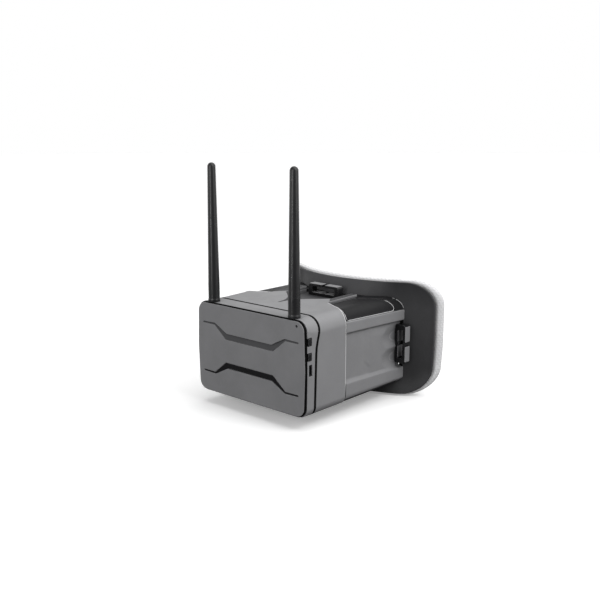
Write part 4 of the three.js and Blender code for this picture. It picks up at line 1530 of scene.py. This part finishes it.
@dataclass
class Studio:
    """The floor, the lights, the sky and the camera."""

    eye: Point = (0.4565, -0.5194, 0.2309)
    aim: Point = (0.054798, -0.0745, 0.103116)
    lens: float = 50.04
    floor_radius: float = 6.0
    sun_power: float = 1.8
    sun_width: float = 75.0
    sun_way: Point = (-0.25, -0.28, -1.0)
    front_way: Point = (0.67, -0.74, 0.0)
    front_level: float = 0.35

    def floor(self) -> None:
        """Lay a wide pale floor with a faint mottle."""
        rings = [0.0, 0.2, 0.5, 1.2, 3.0, self.floor_radius]
        rows = []
        for radius in rings[1:]:
            rows.append([
                (radius * math.cos(a), radius * math.sin(a), -0.0003)
                for a in (2 * math.pi * k / 96 for k in range(96))
            ])
        points = [p for row in rows for p in row]
        faces = [tuple(range(96))]
        for s in range(len(rows) - 1):
            for i in range(96):
                j = (i + 1) % 96
                faces.append((s * 96 + i, (s + 1) * 96 + i, (s + 1) * 96 + j, s * 96 + j))
        mesh = bpy.data.meshes.new("floor")
        mesh.from_pydata(points, [], faces)
        floor = new_object("floor", mesh)
        n = Nodes("pale_floor")
        tone = n.blend(n.spread(n.noise(0.4, 3.0), 0.0, 1.0), (0.92, 0.92, 0.92), (0.94, 0.94, 0.94))
        rough = n.spread(n.noise(0.05, 3.0), 0.75, 0.85)
        shader = n.add("ShaderNodeBsdfPrincipled", Base_Color=tone, Roughness=rough)
        shader.inputs["Emission Color"].default_value = (1.0, 1.0, 1.0, 1.0)
        shader.inputs["Emission Strength"].default_value = 0.2
        floor.data.materials.append(n.finish(shader))
        floor.visible_diffuse = False
        floor.visible_glossy = False

    def lights(self) -> None:
        """Hang the soft lights and the wide high sun."""
        aim = Vector(self.aim)
        for light in (
            SoftLight("right_light", (1.3, 0.2, 0.5), (0.9, 0.9), 5.0),
            SoftLight("corner_light", (0.75, 0.0, 0.85), (0.3, 0.3), 2.2),
            SoftLight("left_strip", (0.0, -0.62, 0.2), (0.045, 0.4), 0.9),
            SoftLight("front_light", (0.35, -1.3, 0.6), (0.9, 0.9), 3.6),
        ):
            light.build(aim)
        lamp = bpy.data.lights.new("high_sun", "SUN")
        lamp.energy = self.sun_power
        lamp.angle = math.radians(self.sun_width)
        sun = bpy.data.objects.new("high_sun", lamp)
        sun.rotation_mode = "QUATERNION"
        sun.rotation_quaternion = Vector(self.sun_way).to_track_quat("-Z", "Y")
        bpy.context.scene.collection.objects.link(sun)

    def sky(self) -> None:
        """Set the sky: white along the horizon, greyer above and in front, dark below."""
        sky = bpy.data.worlds.new("pale_sky")
        bpy.context.scene.world = sky
        sky.use_nodes = True
        tree = sky.node_tree
        back = tree.nodes["Background"]
        place = tree.nodes.new("ShaderNodeTexCoord")
        split = tree.nodes.new("ShaderNodeSeparateXYZ")
        ramp = tree.nodes.new("ShaderNodeValToRGB")
        half = tree.nodes.new("ShaderNodeMapRange")
        half.inputs["From Min"].default_value = -1.0
        tree.links.new(place.outputs["Generated"], split.inputs[0])
        tree.links.new(split.outputs["Z"], half.inputs["Value"])
        tree.links.new(half.outputs["Result"], ramp.inputs["Fac"])
        side = tree.nodes.new("ShaderNodeVectorMath")
        side.operation = "DOT_PRODUCT"
        side.inputs[1].default_value = self.front_way
        tree.links.new(place.outputs["Generated"], side.inputs[0])
        dim = tree.nodes.new("ShaderNodeMapRange")
        dim.inputs["From Min"].default_value = 0.1
        dim.inputs["From Max"].default_value = 0.8
        dim.inputs["To Min"].default_value = 1.0
        dim.inputs["To Max"].default_value = self.front_level
        tree.links.new(side.outputs["Value"], dim.inputs["Value"])
        tree.links.new(dim.outputs["Result"], back.inputs["Strength"])
        tree.links.new(ramp.outputs["Color"], back.inputs["Color"])
        bands = ((0.0, 0.05), (0.4, 0.1), (0.42, 1.0), (0.57, 1.0), (0.72, 0.36), (1.0, 0.36))
        elements = ramp.color_ramp.elements
        for k, (place_up, level) in enumerate(bands):
            element = elements[k] if k < 2 else elements.new(place_up)
            element.position = place_up
            element.color = (level, level, level, 1.0)

    def camera(self) -> None:
        """Set up the camera."""
        data = bpy.data.cameras.new("camera")
        data.lens = self.lens
        data.sensor_width = 36.0
        data.clip_start, data.clip_end = 0.01, 50.0
        camera = bpy.data.objects.new("camera", data)
        camera.location = self.eye
        camera.rotation_mode = "QUATERNION"
        camera.rotation_quaternion = (Vector(self.aim) - Vector(self.eye)).to_track_quat("-Z", "Y")
        bpy.context.scene.collection.objects.link(camera)
        bpy.context.scene.camera = camera

    def build(self) -> None:
        """Build the studio."""
        self.camera()
        self.floor()
        self.lights()
        self.sky()
        bpy.context.scene.view_settings.view_transform = "Standard"


def main() -> None:
    """Build every sub-assembly in order."""
    logging.basicConfig(level=logging.INFO, format="%(name)s %(message)s")
    Studio().build()
    for part in (
        DisplayModule(),
        Housing(),
        RearBody(),
        FaceFrame(),
        StrapFittings(),
        Aerials(),
        Optics(),
        Electronics(),
    ):
        LOG.info("building %s", type(part).__name__)
        part.build()


if __name__ == "__main__":
    main()
